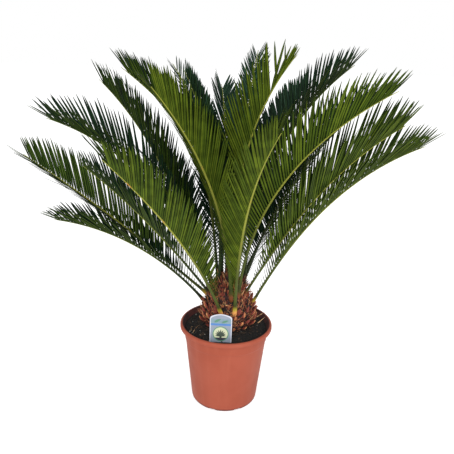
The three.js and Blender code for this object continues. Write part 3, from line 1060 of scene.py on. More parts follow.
@dataclass
class Crown:
    """All fronds of the palm."""

    plans: tuple[FrondPlan, ...] = FROND_PLANS
    rows: LeafletRows = field(default_factory=LeafletRows)
    stalk: RachisForm = field(default_factory=RachisForm)

    # the edge of a leaflet, darkened as painted shade between the leaflets, and two tones of its
    # middle; UNDER likewise for the underside
    UPPER = {
        Age.FRESH: (srgb(20, 32, 4), srgb(62, 76, 18), srgb(50, 64, 14)),
        Age.GROWN: (srgb(10, 22, 4), srgb(52, 70, 18), srgb(38, 55, 12)),
        Age.OLD: (srgb(2, 14, 6), srgb(20, 42, 20), srgb(12, 32, 16)),
        Age.SHADED: (srgb(6, 18, 12), srgb(38, 62, 44), srgb(27, 50, 36)),
    }
    UNDER = {
        Age.FRESH: (srgb(22, 34, 4), srgb(68, 80, 18), srgb(54, 67, 14)),
        Age.GROWN: (srgb(16, 28, 4), srgb(64, 77, 18), srgb(50, 64, 14)),
        Age.OLD: (srgb(6, 16, 4), srgb(46, 60, 14), srgb(33, 48, 10)),
        Age.SHADED: (srgb(6, 18, 10), srgb(38, 58, 34), srgb(28, 46, 28)),
    }
    SHEEN = {Age.FRESH: 0.03, Age.GROWN: 0.04, Age.OLD: 0.06, Age.SHADED: 0.06}

    def leaf_materials(self, age: Age) -> list[Material]:
        """Makes the greens of one age.

        Args:
            age: The age of the fronds that wear them.

        Returns:
            Edge and two middle materials for the upper side, then for the underside.
        """
        upper = [
            LeafFinish(f"leaf_upper_{age.value}_{i}", colour, 0.42, self.SHEEN[age])
            for i, colour in enumerate(self.UPPER[age])
        ]
        under = [
            LeafFinish(f"leaf_under_{age.value}_{i}", colour, 0.6)
            for i, colour in enumerate(self.UNDER[age])
        ]
        return [finish.build() for finish in upper + under]

    def build(self) -> None:
        """Makes every frond's leaflets and stalk."""
        greens = {age: self.leaf_materials(age) for age in Age}
        pale = RachisFinish("rachis_pale_foot", srgb(196, 136, 78), srgb(146, 130, 42)).build()
        brown = RachisFinish("rachis_brown_foot", srgb(104, 58, 34), srgb(60, 56, 24)).build()
        dark = RachisFinish(
            "rachis_dark", srgb(84, 46, 28), srgb(36, 34, 16), srgb(24, 32, 14), srgb(34, 44, 18),
            srgb(96, 102, 40),
        ).build()
        for number, plan in enumerate(self.plans):
            stalk = pale if plan.ring is Ring.LOW else brown
            if plan.age in (Age.OLD, Age.SHADED):
                stalk = dark
            curve = FrondCurve(plan)
            node = f"frond_{plan.name}"
            add_piece(self.rows.build(curve, number, greens[plan.age]), "frond", node)
            add_piece(self.stalk.build(curve, stalk), "frond", node)


# ---------------------------------------------------------------- trunk


@dataclass
class Caudex:
    """The short trunk: a rough core under pointed woolly scales, old leaf stumps and fibres."""

    foot: float  # height of its flat cut
    height: float
    curves: Sequence[FrondCurve]
    centre: tuple[float, float] = (4.0, 0.0)
    # radius at shares of the height
    outline: tuple = ((0.0, 46.0), (0.08, 48.5), (0.24, 51.5), (0.44, 48.5), (0.58, 42.0),
                      (0.69, 35.0), (0.81, 28.0), (0.91, 20.0), (0.97, 11.0), (1.0, 1.0))
    bark: float = 2.5  # how far the core lies inside the outline
    lump: float = 7.0  # size of the core's lumps
    lump_height: float = 2.4
    scales: int = 2600
    scale_turn: float = 137.508  # degrees round the trunk from one scale to the next
    # lengths and outward tilts of the scales at shares of the height
    scale_lengths: tuple = ((0.0, 5.0), (0.2, 6.5), (0.5, 9.5), (0.8, 19.0), (1.0, 20.0))
    scale_tilts: tuple = ((0.0, 30.0), (0.4, 28.0), (0.7, 42.0), (0.9, 62.0), (1.0, 80.0))
    scale_halves: tuple[float, float] = (1.3, 2.7)
    scale_lean: float = 40.0  # spread of the sideways lean, in degrees
    scale_room: float = 5.0  # kept clear round the leaf stalks
    stump_rows: int = 4
    stumps_per_row: int = 13
    stump_foot: float = 7.0  # height of the first row
    stump_pitch: float = 11.5  # height from row to row
    stump_lengths: tuple[float, float] = (13.0, 18.0)
    stump_halves: tuple[float, float] = (3.8, 5.8)
    stump_room: float = 7.0
    scarred: float = 0.7  # share of the stumps with a pale scar
    strands: int = 420
    strand_lengths: tuple[float, float] = (9.0, 26.0)
    strand_halves: tuple[float, float] = (0.3, 0.6)
    seed: int = 5

    TONES = (
        srgb(12, 5, 3), srgb(42, 15, 9), srgb(110, 40, 25),
        srgb(142, 63, 38), srgb(158, 96, 58), srgb(182, 136, 90),
    )
    # how common each tone is at the foot and at the top
    LOW_SHARES = (0.32, 0.3, 0.22, 0.1, 0.05, 0.01)
    TOP_SHARES = (0.2, 0.26, 0.22, 0.16, 0.11, 0.05)

    def build(self) -> None:
        """Models the trunk's parts."""
        rng = np.random.default_rng(self.seed)
        finishes = graded("bark", self.TONES, 0.55, 0.85, 260.0, 0.25)
        cut = MottledFinish("leaf_scar", srgb(178, 122, 72), srgb(136, 74, 40), 0.75, 240.0, 0.2)
        add_piece(self._core(finishes[0]), "trunk", "trunk", smooth_angle=60.0)
        add_piece(self._scales(finishes, rng), "trunk", "trunk")
        add_piece(self._stumps([finishes[2], cut.build()], rng), "trunk", "trunk")
        add_piece(self._strands(finishes[3:], rng), "trunk", "trunk")

    def _core(self, material: Material) -> Object:
        """Models the core as a turned body with a rough surface.

        Args:
            material: Its finish.

        Returns:
            The object.
        """
        shares = np.linspace(0.0, 1.0, 36)
        radii = np.maximum(along(self.outline, shares) - self.bark, 0.8)
        profile = [(float(r), self.foot + float(s) * self.height) for r, s in zip(radii, shares)]
        core = turn_by_extrusion("caudex_core", profile, 84)
        core.data.transform(Matrix.Translation((mm(self.centre[0]), mm(self.centre[1]), 0.0)))
        lumps = bpy.data.textures.new("bark_lumps", "VORONOI")
        lumps.noise_scale = mm(self.lump)
        select_only(core)
        rough = core.modifiers.new("rough", "DISPLACE")
        rough.texture = lumps
        rough.texture_coords = "LOCAL"
        rough.strength = mm(self.lump_height)
        rough.mid_level = 0.6
        bpy.ops.object.modifier_apply(modifier=rough.name)
        core.data.materials.append(material)
        return core

    def _surface(self, share: np.ndarray, azimuth: np.ndarray) -> tuple[np.ndarray, ...]:
        """Reads places and directions on the outline.

        Args:
            share: Shares of the height.
            azimuth: Degrees round the axis.

        Returns:
            Places, and the directions outwards, up the slope, and round to the right as seen
            from outside.
        """
        radial = round_the_axis(np.radians(azimuth))
        rise = np.array(RISE)
        step = 0.02  # share of the height over which the slope is read, each way
        growth = along(self.outline, share + step) - along(self.outline, share - step)
        slope = growth / (2 * step * self.height)
        # the outline ends at the top, so the reading there covers only half of the step
        slope = np.where(share > 0.97, slope * 2.0, slope)
        up = unit(radial * slope[:, None] + rise)
        out = unit(radial - rise * slope[:, None])
        height = self.foot + share * self.height
        place = radial * along(self.outline, share)[:, None] + rise * height[:, None]
        return place + np.array([*self.centre, 0.0]), out, up, np.cross(rise, radial)

    def _by_area(self, share: np.ndarray) -> np.ndarray:
        """Turns even shares into heights that spread points evenly over the surface.

        Args:
            share: Even shares from 0 to 1.

        Returns:
            Shares of the height.
        """
        grid = np.linspace(0.0, 1.0, 200)
        area = np.cumsum(along(self.outline, grid) + 6.0)  # with a little more for the top
        return np.interp(share, (area - area[0]) / (area[-1] - area[0]), grid)

    def _clear_of_stalks(self, places: np.ndarray, distance: float) -> np.ndarray:
        """Finds the places that lie clear of the leaf stalks.

        Args:
            places: Places in millimetres.
            distance: The room that is kept.

        Returns:
            True for each place that is clear.
        """
        shares = np.linspace(-0.03, 0.12, 16)  # the stalks' feet
        stalks = np.concatenate([curve.point(shares) for curve in self.curves])
        gaps = np.linalg.norm(places[:, None] - stalks[None], axis=-1).min(axis=1)
        return gaps > distance

    def _scales(self, materials: Sequence[Material], rng: Rng) -> Object:
        """Makes the pointed woolly scales in a spiral up the trunk.

        Args:
            materials: The barks' finishes, from dark to pale.
            rng: The random draw.

        Returns:
            The object.
        """
        # a spiral of even steps, from which each scale strays a little
        number = np.arange(self.scales)
        share = self._by_area((number + 0.5) / self.scales)
        share = np.clip(share + rng.normal(0.0, 0.01, self.scales), 0.0, 0.995)
        azimuth = number * self.scale_turn + rng.normal(0.0, 4.0, self.scales)
        place, out, up, right = self._surface(share, azimuth)
        clear = self._clear_of_stalks(place + out * 3 + up * 6, self.scale_room)
        share, place, out, up, right = (a[clear] for a in (share, place, out, up, right))
        count = len(share)
        length = along(self.scale_lengths, share) * rng.normal(1.0, 0.25, count).clip(0.5, 1.6)
        tilt = np.radians(along(self.scale_tilts, share) + rng.normal(0.0, 16.0, count))
        lean = np.radians(rng.normal(0.0, self.scale_lean, count))
        climb, side = swing(up, right, lean)
        reach, face = swing(climb, out, tilt)
        steps = np.array([0.0, 0.2, 0.45, 0.7, 0.9, 1.0])
        half = np.array([0.75, 1.0, 0.8, 0.5, 0.22])
        half = half * rng.uniform(*self.scale_halves, count)[:, None]
        curl = length * rng.normal(-0.04, 0.12, count)
        root = place - out * self.bark
        spine = strung(root, (reach, length[:, None] * steps), (face, curl[:, None] * steps**2))
        section = ((-1.0, 0.0), (0.0, 0.5), (1.0, 0.0), (0.0, -0.25))
        points = swept_points(spine, -side, face, half, section)
        faces, bands, _ = swept_faces(count, len(steps) - 1, len(section))
        mix = share[:, None]
        shares = np.array(self.LOW_SHARES) * (1 - mix) + np.array(self.TOP_SHARES) * mix
        draw = rng.random(count)[:, None]
        tone = (draw > np.cumsum(shares, axis=1)[:, :-1]).sum(axis=1)
        # scales grow paler towards their dry points
        paler = (bands >= 4).astype(int)
        slots = np.minimum(tone[:, None] + paler[None, :], len(materials) - 1).ravel()
        return from_arrays("caudex_scales", points.reshape(-1, 3), faces, materials, slots)

    def _stumps(self, materials: Sequence[Material], rng: Rng) -> Object:
        """Makes the stumps of old leaves: blunt wedges with a pale scar on their outer face.

        Args:
            materials: The finishes of their sides and of the scar.
            rng: The random draw.

        Returns:
            The object.
        """
        row, place_in_row = np.divmod(
            np.arange(self.stump_rows * self.stumps_per_row), self.stumps_per_row
        )
        share = (self.stump_foot + row * self.stump_pitch) / self.height
        share = share + rng.normal(0.0, 0.012, len(row))
        azimuth = (place_in_row + 0.5 * (row % 2)) * 360.0 / self.stumps_per_row
        azimuth = azimuth + rng.normal(0.0, 4.0, len(row))
        place, out, up, right = self._surface(share, azimuth)
        clear = self._clear_of_stalks(place + out * 4 + up * 5, self.stump_room)
        place, out, up, right = (a[clear] for a in (place, out, up, right))
        count = len(place)
        reach, face = swing(up, out, np.radians(rng.normal(30.0, 8.0, count)))
        steps = np.array([0.0, 0.25, 0.55, 0.8, 0.94, 1.0, 0.97])
        half = np.array([0.5, 0.9, 1.0, 0.72, 0.42, 0.26])
        half = half * rng.uniform(*self.stump_halves, count)[:, None]
        length = rng.uniform(*self.stump_lengths, count)
        spine = strung(place, (reach, length[:, None] * steps))
        section = ((-1.0, -0.1), (-0.62, 0.5), (0.0, 0.72), (0.62, 0.5), (1.0, -0.1), (0.0, -0.5))
        points = swept_points(spine, -right, face, half, section)
        faces, bands, sides = swept_faces(count, len(steps) - 1, len(section))
        # the scar covers the end, and the middle of the outer face from the second band on
        scar = ((sides == 1) | (sides == 2)) & (bands >= 2) | (bands >= 5)
        scarred = rng.random(count) < self.scarred
        slots = (scar[None, :] & scarred[:, None]).astype(int).ravel()
        return from_arrays("leaf_stumps", points.reshape(-1, 3), faces, materials, slots)

    def _strands(self, materials: Sequence[Material], rng: Rng) -> Object:
        """Makes loose curved fibres that stand between the leaf stalks.

        Args:
            materials: The palest barks' finishes.
            rng: The random draw.

        Returns:
            The object.
        """
        share = np.clip(self._by_area(rng.random(self.strands)), 0.15, 0.99)
        place, out, up, right = self._surface(share, rng.uniform(0.0, 360.0, self.strands))
        lean = rng.normal(0.0, 0.6, self.strands)[:, None]
        tilt = rng.uniform(0.2, 0.9, self.strands)[:, None]
        reach = unit(up + right * lean + out * tilt)
        sizes = (self.strand_lengths, self.strand_halves)
        return lay_fibres("loose_fibres", place - out, reach, *sizes, materials, rng, curl=0.4)


# ---------------------------------------------------------------- soil


@dataclass
class Soil:
    """Dark potting mix, heaped a little towards the trunk, with crumbs, specks and straws."""

    level: float  # height of the mound
    wall: float  # radius at the pot's wall
    trunk: float = 48.0  # radius at the trunk's foot
    dish: float = 7.0  # how much lower it lies at the wall
    crumbs: int = 5200
    fibres: int = 420
    # the tag's slot, where crumbs lie lower: middle and half width in X, and its edge in Y
    slot_middle: float = -10.0
    slot_half: float = 26.0
    slot_edge: float = -71.0
    slot_depth: float = 4.0
    seed: int = 23

    # crumb tones from dark to pale, the last one for white specks, and how common each is
    TONES = (
        srgb(4, 3, 2), srgb(13, 9, 5), srgb(34, 23, 14), srgb(72, 54, 38), srgb(190, 188, 176),
    )
    SHARES = (0.52, 0.31, 0.13, 0.034, 0.006)
    # a crumb's eight faces between six corners, the ends of three axes and of their reverses
    CRUMB = ([0, 1, 2], [1, 3, 2], [3, 4, 2], [4, 0, 2], [1, 0, 5], [3, 1, 5], [4, 3, 5], [0, 4, 5])
    # radius and height of the mix inside the pot's floor and wall
    INSIDE = ((60.0, 3.4), (65.5, 6.0), (82.3, 139.0))
    # where straws lie, from the soil to their ends near the rim
    STRAWS = (
        ((60.0, 0.0, 165.0), (84.0, 37.0, 171.0)),
        ((64.0, 8.0, 165.0), (84.0, 31.0, 170.5)),
        ((66.0, 34.0, 167.0), (84.0, 44.0, 171.5)),
        ((-66.0, -37.0, 164.5), (-57.0, -19.0, 167.0)),
        ((-70.0, -30.0, 164.5), (-64.0, -12.0, 166.0)),
    )

    def build(self) -> None:
        """Models the soil's parts."""
        rng = np.random.default_rng(self.seed)
        finishes = graded("soil", self.TONES, 0.5, 0.95, 300.0, 0.3)
        add_piece(self._bed(finishes[0]), "soil", "soil", smooth_angle=60.0)
        add_piece(self._crumbs(finishes, rng), "soil", "soil", smooth_angle=None)
        add_piece(self._fibres(finishes[1:4], rng), "soil", "soil")
        add_piece(self._straws(rng), "soil", "soil")

    def _height(self, radius: np.ndarray) -> np.ndarray:
        """Returns the soil's height at a radius."""
        heap = ((self.trunk + 2, self.level), (self.trunk + 12, self.level - 1.5))
        return along((*heap, (self.wall, self.level - self.dish)), radius)

    def _bed(self, material: Material) -> Object:
        """Models the filled pot's soil as one turned body.

        Args:
            material: Its finish.

        Returns:
            The object.
        """
        # the bed lies a little under the crumbs that cover it
        radii = np.linspace(self.wall - 0.6, 2.0, 30)
        surface = [(float(r), float(h) - 1.6) for r, h in zip(radii, self._height(radii))]
        brim = (self.wall - 0.9, self.level - self.dish - 4.0)
        bed = turn_by_extrusion("soil_bed", [*self.INSIDE, brim, *surface], 96)
        bed.data.materials.append(material)
        return bed

    def _crumbs(self, materials: Sequence[Material], rng: Rng) -> Object:
        """Makes the crumbs as small irregular eight-sided lumps.

        Args:
            materials: The soil's finishes, dark to pale.
            rng: The random draw.

        Returns:
            The object.
        """
        count = self.crumbs
        # many small crumbs and a few large ones, each sunk to about its middle
        inner, outer = self.trunk - 5.0, self.wall - 2.0
        radius = np.sqrt(rng.uniform(inner**2, outer**2, count))
        turn = rng.uniform(0.0, math.tau, count)
        size = rng.gamma(3.0, 0.42, count).clip(0.5, 3.2)
        height = self._height(radius) - 1.4 + rng.uniform(-0.3, 0.9, count) * size * 0.5
        middle = np.stack([radius * np.cos(turn), radius * np.sin(turn), height], axis=-1)
        axes = np.linalg.qr(rng.normal(size=(count, 3, 3)))[0]
        axes[np.linalg.det(axes) < 0, 0] *= -1
        reach = size[:, None] * rng.uniform(0.6, 1.25, (count, 6))
        ends = np.concatenate([axes, -axes], axis=1) * reach[..., None]
        points = middle[:, None] + ends
        sideways = np.abs(middle[:, 0] - self.slot_middle)
        in_slot = (sideways < self.slot_half) & (middle[:, 1] < self.slot_edge)
        points[in_slot, :, 2] -= self.slot_depth
        faces = [[c + base for c in face] for base in range(0, count * 6, 6) for face in self.CRUMB]
        slots = np.repeat(rng.choice(len(materials), count, p=self.SHARES), len(self.CRUMB))
        return from_arrays("soil_crumbs", points.reshape(-1, 3), faces, materials, slots)

    def _fibres(self, materials: Sequence[Material], rng: Rng) -> Object:
        """Makes the matted fibres that lie round the trunk's foot.

        Args:
            materials: The browner soil finishes.
            rng: The random draw.

        Returns:
            The object.
        """
        # most lie close to the trunk and about along the way outwards
        radius = self.trunk + rng.gamma(2.0, 3.2, self.fibres).clip(0.0, 22.0) - 3.0
        turn = rng.uniform(0.0, math.tau, self.fibres)
        start = round_the_axis(turn) * radius[:, None]
        start[:, 2] = self._height(radius) - 0.5
        heading = turn + rng.normal(0.0, 1.2, self.fibres)
        climb = rng.normal(0.12, 0.2, self.fibres)
        reach = unit(np.stack([np.cos(heading), np.sin(heading), climb], axis=-1))
        return lay_fibres("soil_fibres", start, reach, (7.0, 16.0), (0.35, 0.8), materials, rng)

    def _straws(self, rng: Rng) -> Object:
        """Lays the few long straws between the trunk and the rim.

        Args:
            rng: The random draw.

        Returns:
            The object.
        """
        ends = np.array(self.STRAWS)
        reach = ends[:, 1] - ends[:, 0]
        length = float(np.linalg.norm(reach, axis=-1).mean())
        straw = MottledFinish("straw", srgb(214, 178, 132), srgb(160, 118, 78), 0.7, 200.0)
        sizes = ((length * 0.9, length * 1.1), (0.7, 0.9))
        return lay_fibres("straws", ends[:, 0], unit(reach), *sizes, [straw.build()], rng)


# ---------------------------------------------------------------- tag


@dataclass
class PlantTag:
    """A plastic plant tag with an arched top and a printed picture of a palm."""

    bottom: float  # height of its buried lower edge
    position: tuple[float, float] = (-10.0, -73.0)
    width: float = 43.0
    height: float = 90.0
    arch_rise: float = 4.0
    corner: float = 4.0
    thickness: float = 1.0
    lean: float = 3.0
    turn: float = -2.0
    border: float = 1.8
    rounding: float = 0.25  # radius of the cut plastic's edges
    ink: float = 0.05  # how far each printed layer stands out

    WHITE = srgb(170, 172, 182)
    SKY = srgb(100, 122, 132)
    BLUE = srgb(54, 100, 158)
    MIST = srgb(112, 121, 134)
    GREEN = srgb(66, 112, 88)
    CREAM = srgb(168, 172, 142)
    LEAF = srgb(40, 52, 40)
    SHADE = srgb(36, 32, 50)

    def build(self) -> None:
        """Models the plate and its print."""
        place = (
            Matrix.Translation((mm(self.position[0]), mm(self.position[1]), mm(self.bottom)))
            @ Matrix.Rotation(math.radians(self.turn), 4, "Z")
            @ Matrix.Rotation(math.radians(90.0 - self.lean), 4, "X")
        )
        plate = self._plate()
        picture = self._picture()
        for item in (plate, picture):
            item.data.transform(place)
            add_piece(item, "tag", "tag", smooth_angle=30.0)

    def _edge(self, inset: float) -> Profile:
        """Lists the right-hand edge from the straight side up to the middle of the arch.

        Args:
            inset: How far inside the plate's own edge the line runs.

        Returns:
            Half widths and heights above the plate's lower edge.
        """
        half = self.width / 2 - inset
        top = self.height - inset
        arch_foot = top - self.arch_rise
        arch_half = half - self.corner
        shoulder = arch_foot - 2 * self.arch_rise * self.corner / arch_half

        def curve(a: tuple, b: tuple, c: tuple, t: float) -> tuple[float, float]:
            """Returns the point at t on the curve from a to c that b pulls towards itself."""
            parts = ((1 - t) ** 2, 2 * t * (1 - t), t**2)
            return tuple(sum(p * v for p, v in zip(parts, axis)) for axis in zip(a, b, c))

        side, meet, foot = (half, shoulder - self.corner), (half, shoulder), (arch_half, arch_foot)
        peak, far = (0.0, top + self.arch_rise), (-arch_half, arch_foot)
        # the arch stops just short of its peak, where the plate's two halves meet
        rounded = [curve(side, meet, foot, i / 5) for i in range(5)]
        arch = [curve(foot, peak, far, 0.49 * i / 9) for i in range(10)]
        return rounded + arch

    def _plate(self) -> Object:
        """Models the plate: a plane whose upper edge is extruded step by step along the arch."""
        edge = self._edge(0.0)
        half, side = edge[0]
        bpy.ops.object.select_all(action="DESELECT")
        bpy.ops.mesh.primitive_plane_add(size=1.0, location=(0.0, mm(side) / 2, 0.0))
        plate = bpy.context.object
        plate.name = plate.data.name = "tag_plate"
        plate.scale = (mm(self.width), mm(side), 1.0)
        bpy.ops.object.transform_apply(location=True, rotation=True, scale=True)
        for corner in plate.data.vertices:
            corner.select = corner.co.y > mm(side) / 2
        for line in plate.data.edges:
            line.select = all(plate.data.vertices[i].select for i in line.vertices)
        for face in plate.data.polygons:
            face.select = False
        bpy.ops.object.mode_set(mode="EDIT")
        for next_half, height in edge[1:]:
            step = (0.0, mm(height - side), 0.0)
            bpy.ops.mesh.extrude_region_move(TRANSFORM_OT_translate={"value": step})
            bpy.ops.transform.resize(value=(next_half / half, 1.0, 1.0))
            half, side = next_half, height
        bpy.ops.object.mode_set(mode="OBJECT")
        select_only(plate)
        thick = plate.modifiers.new("thick", "SOLIDIFY")
        thick.thickness = mm(self.thickness)
        thick.offset = 0.0
        soft = plate.modifiers.new("soft", "BEVEL")
        soft.width = mm(self.rounding)
        soft.segments = 2
        for modifier in (thick, soft):
            bpy.ops.object.modifier_apply(modifier=modifier.name)
        plate.data.materials.append(PlainFinish("tag_plastic", self.WHITE, 0.35).build())
        return plate

    def _shapes(self) -> list[tuple[list[tuple[float, float]], Colour]]:
        """Lists the printed shapes from the lowest layer up, each an outline and its colour."""
        edge = self._edge(self.border)
        half, top, foot = edge[0][0], self.height - self.border, 18.0
        panel = [(-half, foot), (half, foot), *edge, *[(-x, y) for x, y in reversed(edge)]]

        def band(low: float, high: float) -> list[tuple[float, float]]:
            """Outlines a stripe across the plate."""
            return [(-half, low), (half, low), (half, high), (-half, high)]

        def disc(x: float, y: float, radius: float) -> list[tuple[float, float]]:
            """Outlines a round patch."""
            turns = [math.tau * i / 40 for i in range(40)]
            return [(x + radius * math.cos(t), y + radius * math.sin(t)) for t in turns]

        def leaf(x: float, y: float, heading: float, length: float, width: float) -> list:
            """Outlines a leaf that starts at a point and heads up by an angle."""
            turn = math.radians(heading)
            steps = [i / 8 for i in range(9)]
            line = [(length * t, width * math.sin(math.pi * t**0.8)) for t in steps]
            line += [(length * t, -width * math.sin(math.pi * t**0.8)) for t in steps[-2:0:-1]]
            cos, sin = math.cos(turn), math.sin(turn)
            return [(x + u * cos + v * sin, y + u * sin - v * cos) for u, v in line]

        middle, ring, inside = 49.0, 15.6, 13.8  # the round picture's height and radii
        ground = [(x, y) for x, y in disc(0.0, middle, inside) if y < middle - 8.0]
        stem = [(-1.6, middle - 11.0), (1.6, middle - 11.0), (2.4, 45.5), (-2.4, 45.5)]
        fan = [(turn, 14.0 - abs(turn - 90) / 24) for turn in range(2, 180, 22)]
        return [
            (panel, self.MIST),
            (band(70.5, top - 8.0), self.SKY),
            (band(66.5, 70.5), self.BLUE),
            (disc(0.0, middle, ring), self.GREEN),
            (disc(0.0, middle, inside), self.CREAM),
            (ground, self.SHADE),
            *[(leaf(0.0, 45.0, turn, reach, 1.5), self.LEAF) for turn, reach in fan],
            (stem, self.LEAF),
            (leaf(-13.0, 73.0, 30.0, 15.0, 2.2), self.GREEN),
            (leaf(2.0, 72.8, 20.0, 13.0, 1.9), self.GREEN),
        ]

    def _picture(self) -> Object:
        """Makes the print as thin closed layers on the plate's front."""
        points, faces, slots, colours = [], [], [], []
        for layer, (outline, colour) in enumerate(self._shapes()):
            if colour not in colours:
                colours.append(colour)
            count, base = len(outline), len(points)
            front = self.thickness / 2 + self.ink * (1 + layer)
            for height in (self.thickness / 2 - 0.2, front):
                points += [(x, y, height) for x, y in outline]
            faces.append([base + i for i in reversed(range(count))])
            faces.append([base + count + i for i in range(count)])
            for i in range(count):
                j = (i + 1) % count
                faces.append([base + i, base + j, base + count + j, base + count + i])
            slots += [colours.index(colour)] * (count + 2)
        inks = [PlainFinish(f"ink_{i}", colour, 0.4).build() for i, colour in enumerate(colours)]
        return from_arrays("tag_picture", np.array(points), faces, inks, slots)


# ---------------------------------------------------------------- pot


@dataclass
class NurseryPot:
    """A tapered plastic pot with a rolled lip, a stacking shoulder and drains in its foot."""

    height: float
    rim: float
    shoulder: float = 87.5
    base: float = 69.0
    wall: float = 2.2
    floor: float = 3.0
    lip: float = 9.0
    edge: float = 6.0
    band: float = 24.0  # height of the straight band below the lip
    sides: int = 144
    ledge: float = 1.6  # how far the stacking shoulder stands out
    drains: int = 8
    drain_width: float = 15.0
    drain_height: float = 4.0
    drain_turn: float = 2.5  # degrees
    drain_rounding: float = 1.5

    def outline(self) -> Profile:
        """Returns the rings from the underside over the lip to the inside floor."""
        base, edge, shoulder, rim, top = self.base, self.edge, self.shoulder, self.rim, self.height
        foot = top - self.lip
        bead = (rim - shoulder) / 2
        step = foot - self.band
        lower = base + (shoulder - self.ledge - base) * (step - edge) / (foot - edge)
        underside = [
            (base - edge - 12, 0.0),
            (base - edge - 3, 0.0),
            *quarter_round((base - edge, edge), edge, -90, 0, 8),
            (base + 0.6, edge + 4),
        ]
        stacking_shoulder = [
            (lower, step - 2),
            (lower + 0.3, step - 0.6),
            (lower + 1.3, step + 0.6),
            (lower + self.ledge, step + 2),
        ]
        rolled_lip = [
            (shoulder - 1.0, foot - 3.4),
            (shoulder - 0.9, foot - 1.4),
            (shoulder - 0.2, foot - 0.4),
            (rim - 2.2, foot + 0.1),
            *quarter_round((rim - 1.6, foot + 1.8), 1.6, -70, 0, 4),
            *quarter_round((rim - bead, top - bead), bead, 0, 90, 8),
        ]
        inner = shoulder - self.wall
        bottom = base - self.wall
        inside = [
            *quarter_round((inner + 5.4, top - 1.4), 1.4, 90, 180, 5),
            (inner + 2.4, foot + 1.5),
            (inner - 0.4, foot - 2),
            (inner - 2.2, step),
            (bottom + 0.3, self.floor + 3),
            *quarter_round((bottom - 3, self.floor + 3), 3, 0, -90, 4),
            (8.0, self.floor),
        ]
        return underside + stacking_shoulder + rolled_lip + inside

    def build(self) -> None:
        """Models the pot."""
        pot = turn_by_extrusion("nursery_pot", self.outline(), self.sides)
        self._cut_drains(pot)
        # painted shade: the inner wall above the soil wears a darker copy of the plastic
        inner_shade = MottledFinish("inner_wall_painted_shade", srgb(66, 20, 16), srgb(38, 14, 12), 0.85, 60.0)
        pot.data.materials.append(PotFinish().build())
        pot.data.materials.append(inner_shade.build())
        lip = mm(self.shoulder - self.wall + 5.2)  # radius where the painted shade on the inner wall ends
        for face in pot.data.polygons:
            inward = face.normal.x * face.center.x + face.normal.y * face.center.y < 0.0
            if inward and face.center.xy.length < lip:
                face.material_index = 1
        add_piece(pot, "pot", "pot", smooth_angle=40.0)

    def _cut_drains(self, pot: Object) -> None:
        """Cuts the ring of drain notches through the bottom edge.

        Args:
            pot: The pot's object.
        """
        for i in range(self.drains):
            turn = math.tau * (i + 0.5) / self.drains + math.radians(self.drain_turn)
            place = (mm(self.base) * math.cos(turn), mm(self.base) * math.sin(turn), 0.0)
            bpy.ops.object.select_all(action="DESELECT")
            bpy.ops.mesh.primitive_cube_add(size=1.0, location=place, rotation=(0.0, 0.0, turn))
            cutter = bpy.context.object
            cutter.scale = (mm(self.wall * 5), mm(self.drain_width), mm(self.drain_height * 2))
            bpy.ops.object.transform_apply(location=True, rotation=True, scale=True)
            bpy.ops.object.mode_set(mode="EDIT")
            bpy.ops.mesh.select_all(action="SELECT")
            bpy.ops.mesh.bevel(offset=mm(self.drain_rounding), segments=3, affect="EDGES")
            bpy.ops.object.mode_set(mode="OBJECT")
            select_only(pot)
            cut = pot.modifiers.new("drain", "BOOLEAN")
            cut.operation = "DIFFERENCE"
            cut.solver = "EXACT"
            cut.object = cutter
            bpy.ops.object.modifier_apply(modifier=cut.name)
            bpy.data.objects.remove(cutter)


# ---------------------------------------------------------------- studio


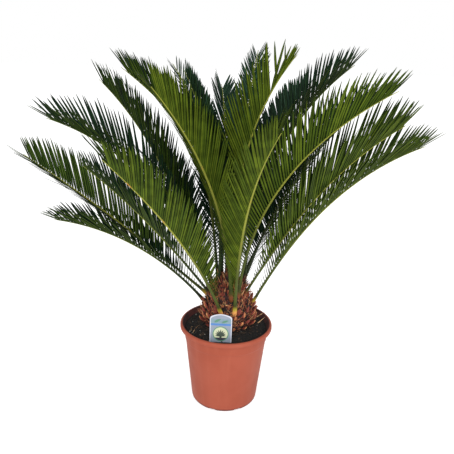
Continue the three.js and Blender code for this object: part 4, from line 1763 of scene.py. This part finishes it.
@dataclass
class Studio:
    """The pale floor, the soft lights and the camera, in metres and degrees."""

    floor_size: float = 60.0
    floor_gap: float = 0.0005  # how far the floor lies under the pot
    camera_height: float = 0.695
    camera_distance: float = 0.987
    pitch: float = 17.8
    roll: float = 1.8
    pan: float = 0.25
    focal: float = 41.87  # millimetres
    aim: float = 0.35  # height that the lights point at

    # name, place, size and watts of each light
    LIGHTS = (("key", (-0.3, -2.3, 1.5), 1.6, 55.0), ("fill", (1.4, -1.8, 1.1), 1.6, 18.0))

    def build(self) -> None:
        """Sets up floor, lights and camera."""
        self._floor()
        self._lights()
        self._camera()

    def _floor(self) -> None:
        """Lays the floor."""
        bpy.ops.object.select_all(action="DESELECT")
        bpy.ops.mesh.primitive_plane_add(size=self.floor_size, location=(0.0, 0.0, -self.floor_gap))
        floor = bpy.context.object
        floor.name = "floor"
        paint = PlainFinish("floor_white", (0.9, 0.9, 0.9), 0.9, fade=0.0, glow=0.28)
        floor.data.materials.append(paint.build())

    def _lights(self) -> None:
        """Hangs the lights, lights the room evenly and keeps whites white."""
        bpy.context.scene.view_settings.view_transform = "Standard"
        world = bpy.data.worlds.new("studio")
        bpy.context.scene.world = world
        world.use_nodes = True
        background = world.node_tree.nodes["Background"]
        background.inputs["Color"].default_value = (1.0, 1.0, 1.0, 1.0)
        background.inputs["Strength"].default_value = 1.0
        for name, place, size, power in self.LIGHTS:
            light = bpy.data.lights.new(name, "AREA")
            light.size = size
            light.energy = power
            lamp = bpy.data.objects.new(name, light)
            lamp.location = place
            aim = Vector((0.0, 0.0, self.aim)) - Vector(place)
            lamp.rotation_euler = aim.to_track_quat("-Z", "Y").to_euler()
            bpy.context.scene.collection.objects.link(lamp)

    def _camera(self) -> None:
        """Stands the camera in front of the plant."""
        camera = bpy.data.cameras.new("camera")
        camera.lens = self.focal
        camera.sensor_width = 36.0
        stand = bpy.data.objects.new("camera", camera)
        turn = (
            Matrix.Rotation(math.radians(self.pan), 3, "Z")
            @ Matrix.Rotation(math.radians(90.0 - self.pitch), 3, "X")
            @ Matrix.Rotation(math.radians(self.roll), 3, "Z")
        )
        place = Matrix.Translation((0.0, -self.camera_distance, self.camera_height))
        stand.matrix_world = place @ turn.to_4x4()
        bpy.context.scene.collection.objects.link(stand)
        bpy.context.scene.camera = stand


def node_box(node: str) -> list[list[float]]:
    """Returns a CAD node's lowest and highest corner in millimetres."""
    return [[value / MM for value in corner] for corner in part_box(node)]


def main() -> None:
    """Builds the plant around the frame."""
    logging.basicConfig(level=logging.INFO, format="%(name)s: %(message)s")
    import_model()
    Studio().build()
    _, pot_high = node_box("pot")
    _, soil_high = node_box("soil")
    tag_low, _ = node_box("tag")
    trunk_low, trunk_high = node_box("trunk")
    NurseryPot(height=pot_high[2], rim=pot_high[0]).build()
    Soil(level=soil_high[2], wall=soil_high[0]).build()
    PlantTag(bottom=tag_low[2]).build()
    crown = Crown()
    curves = [FrondCurve(plan) for plan in crown.plans]
    Caudex(foot=trunk_low[2], height=trunk_high[2] - trunk_low[2], curves=curves).build()
    crown.build()


if __name__ == "__main__":
    main()
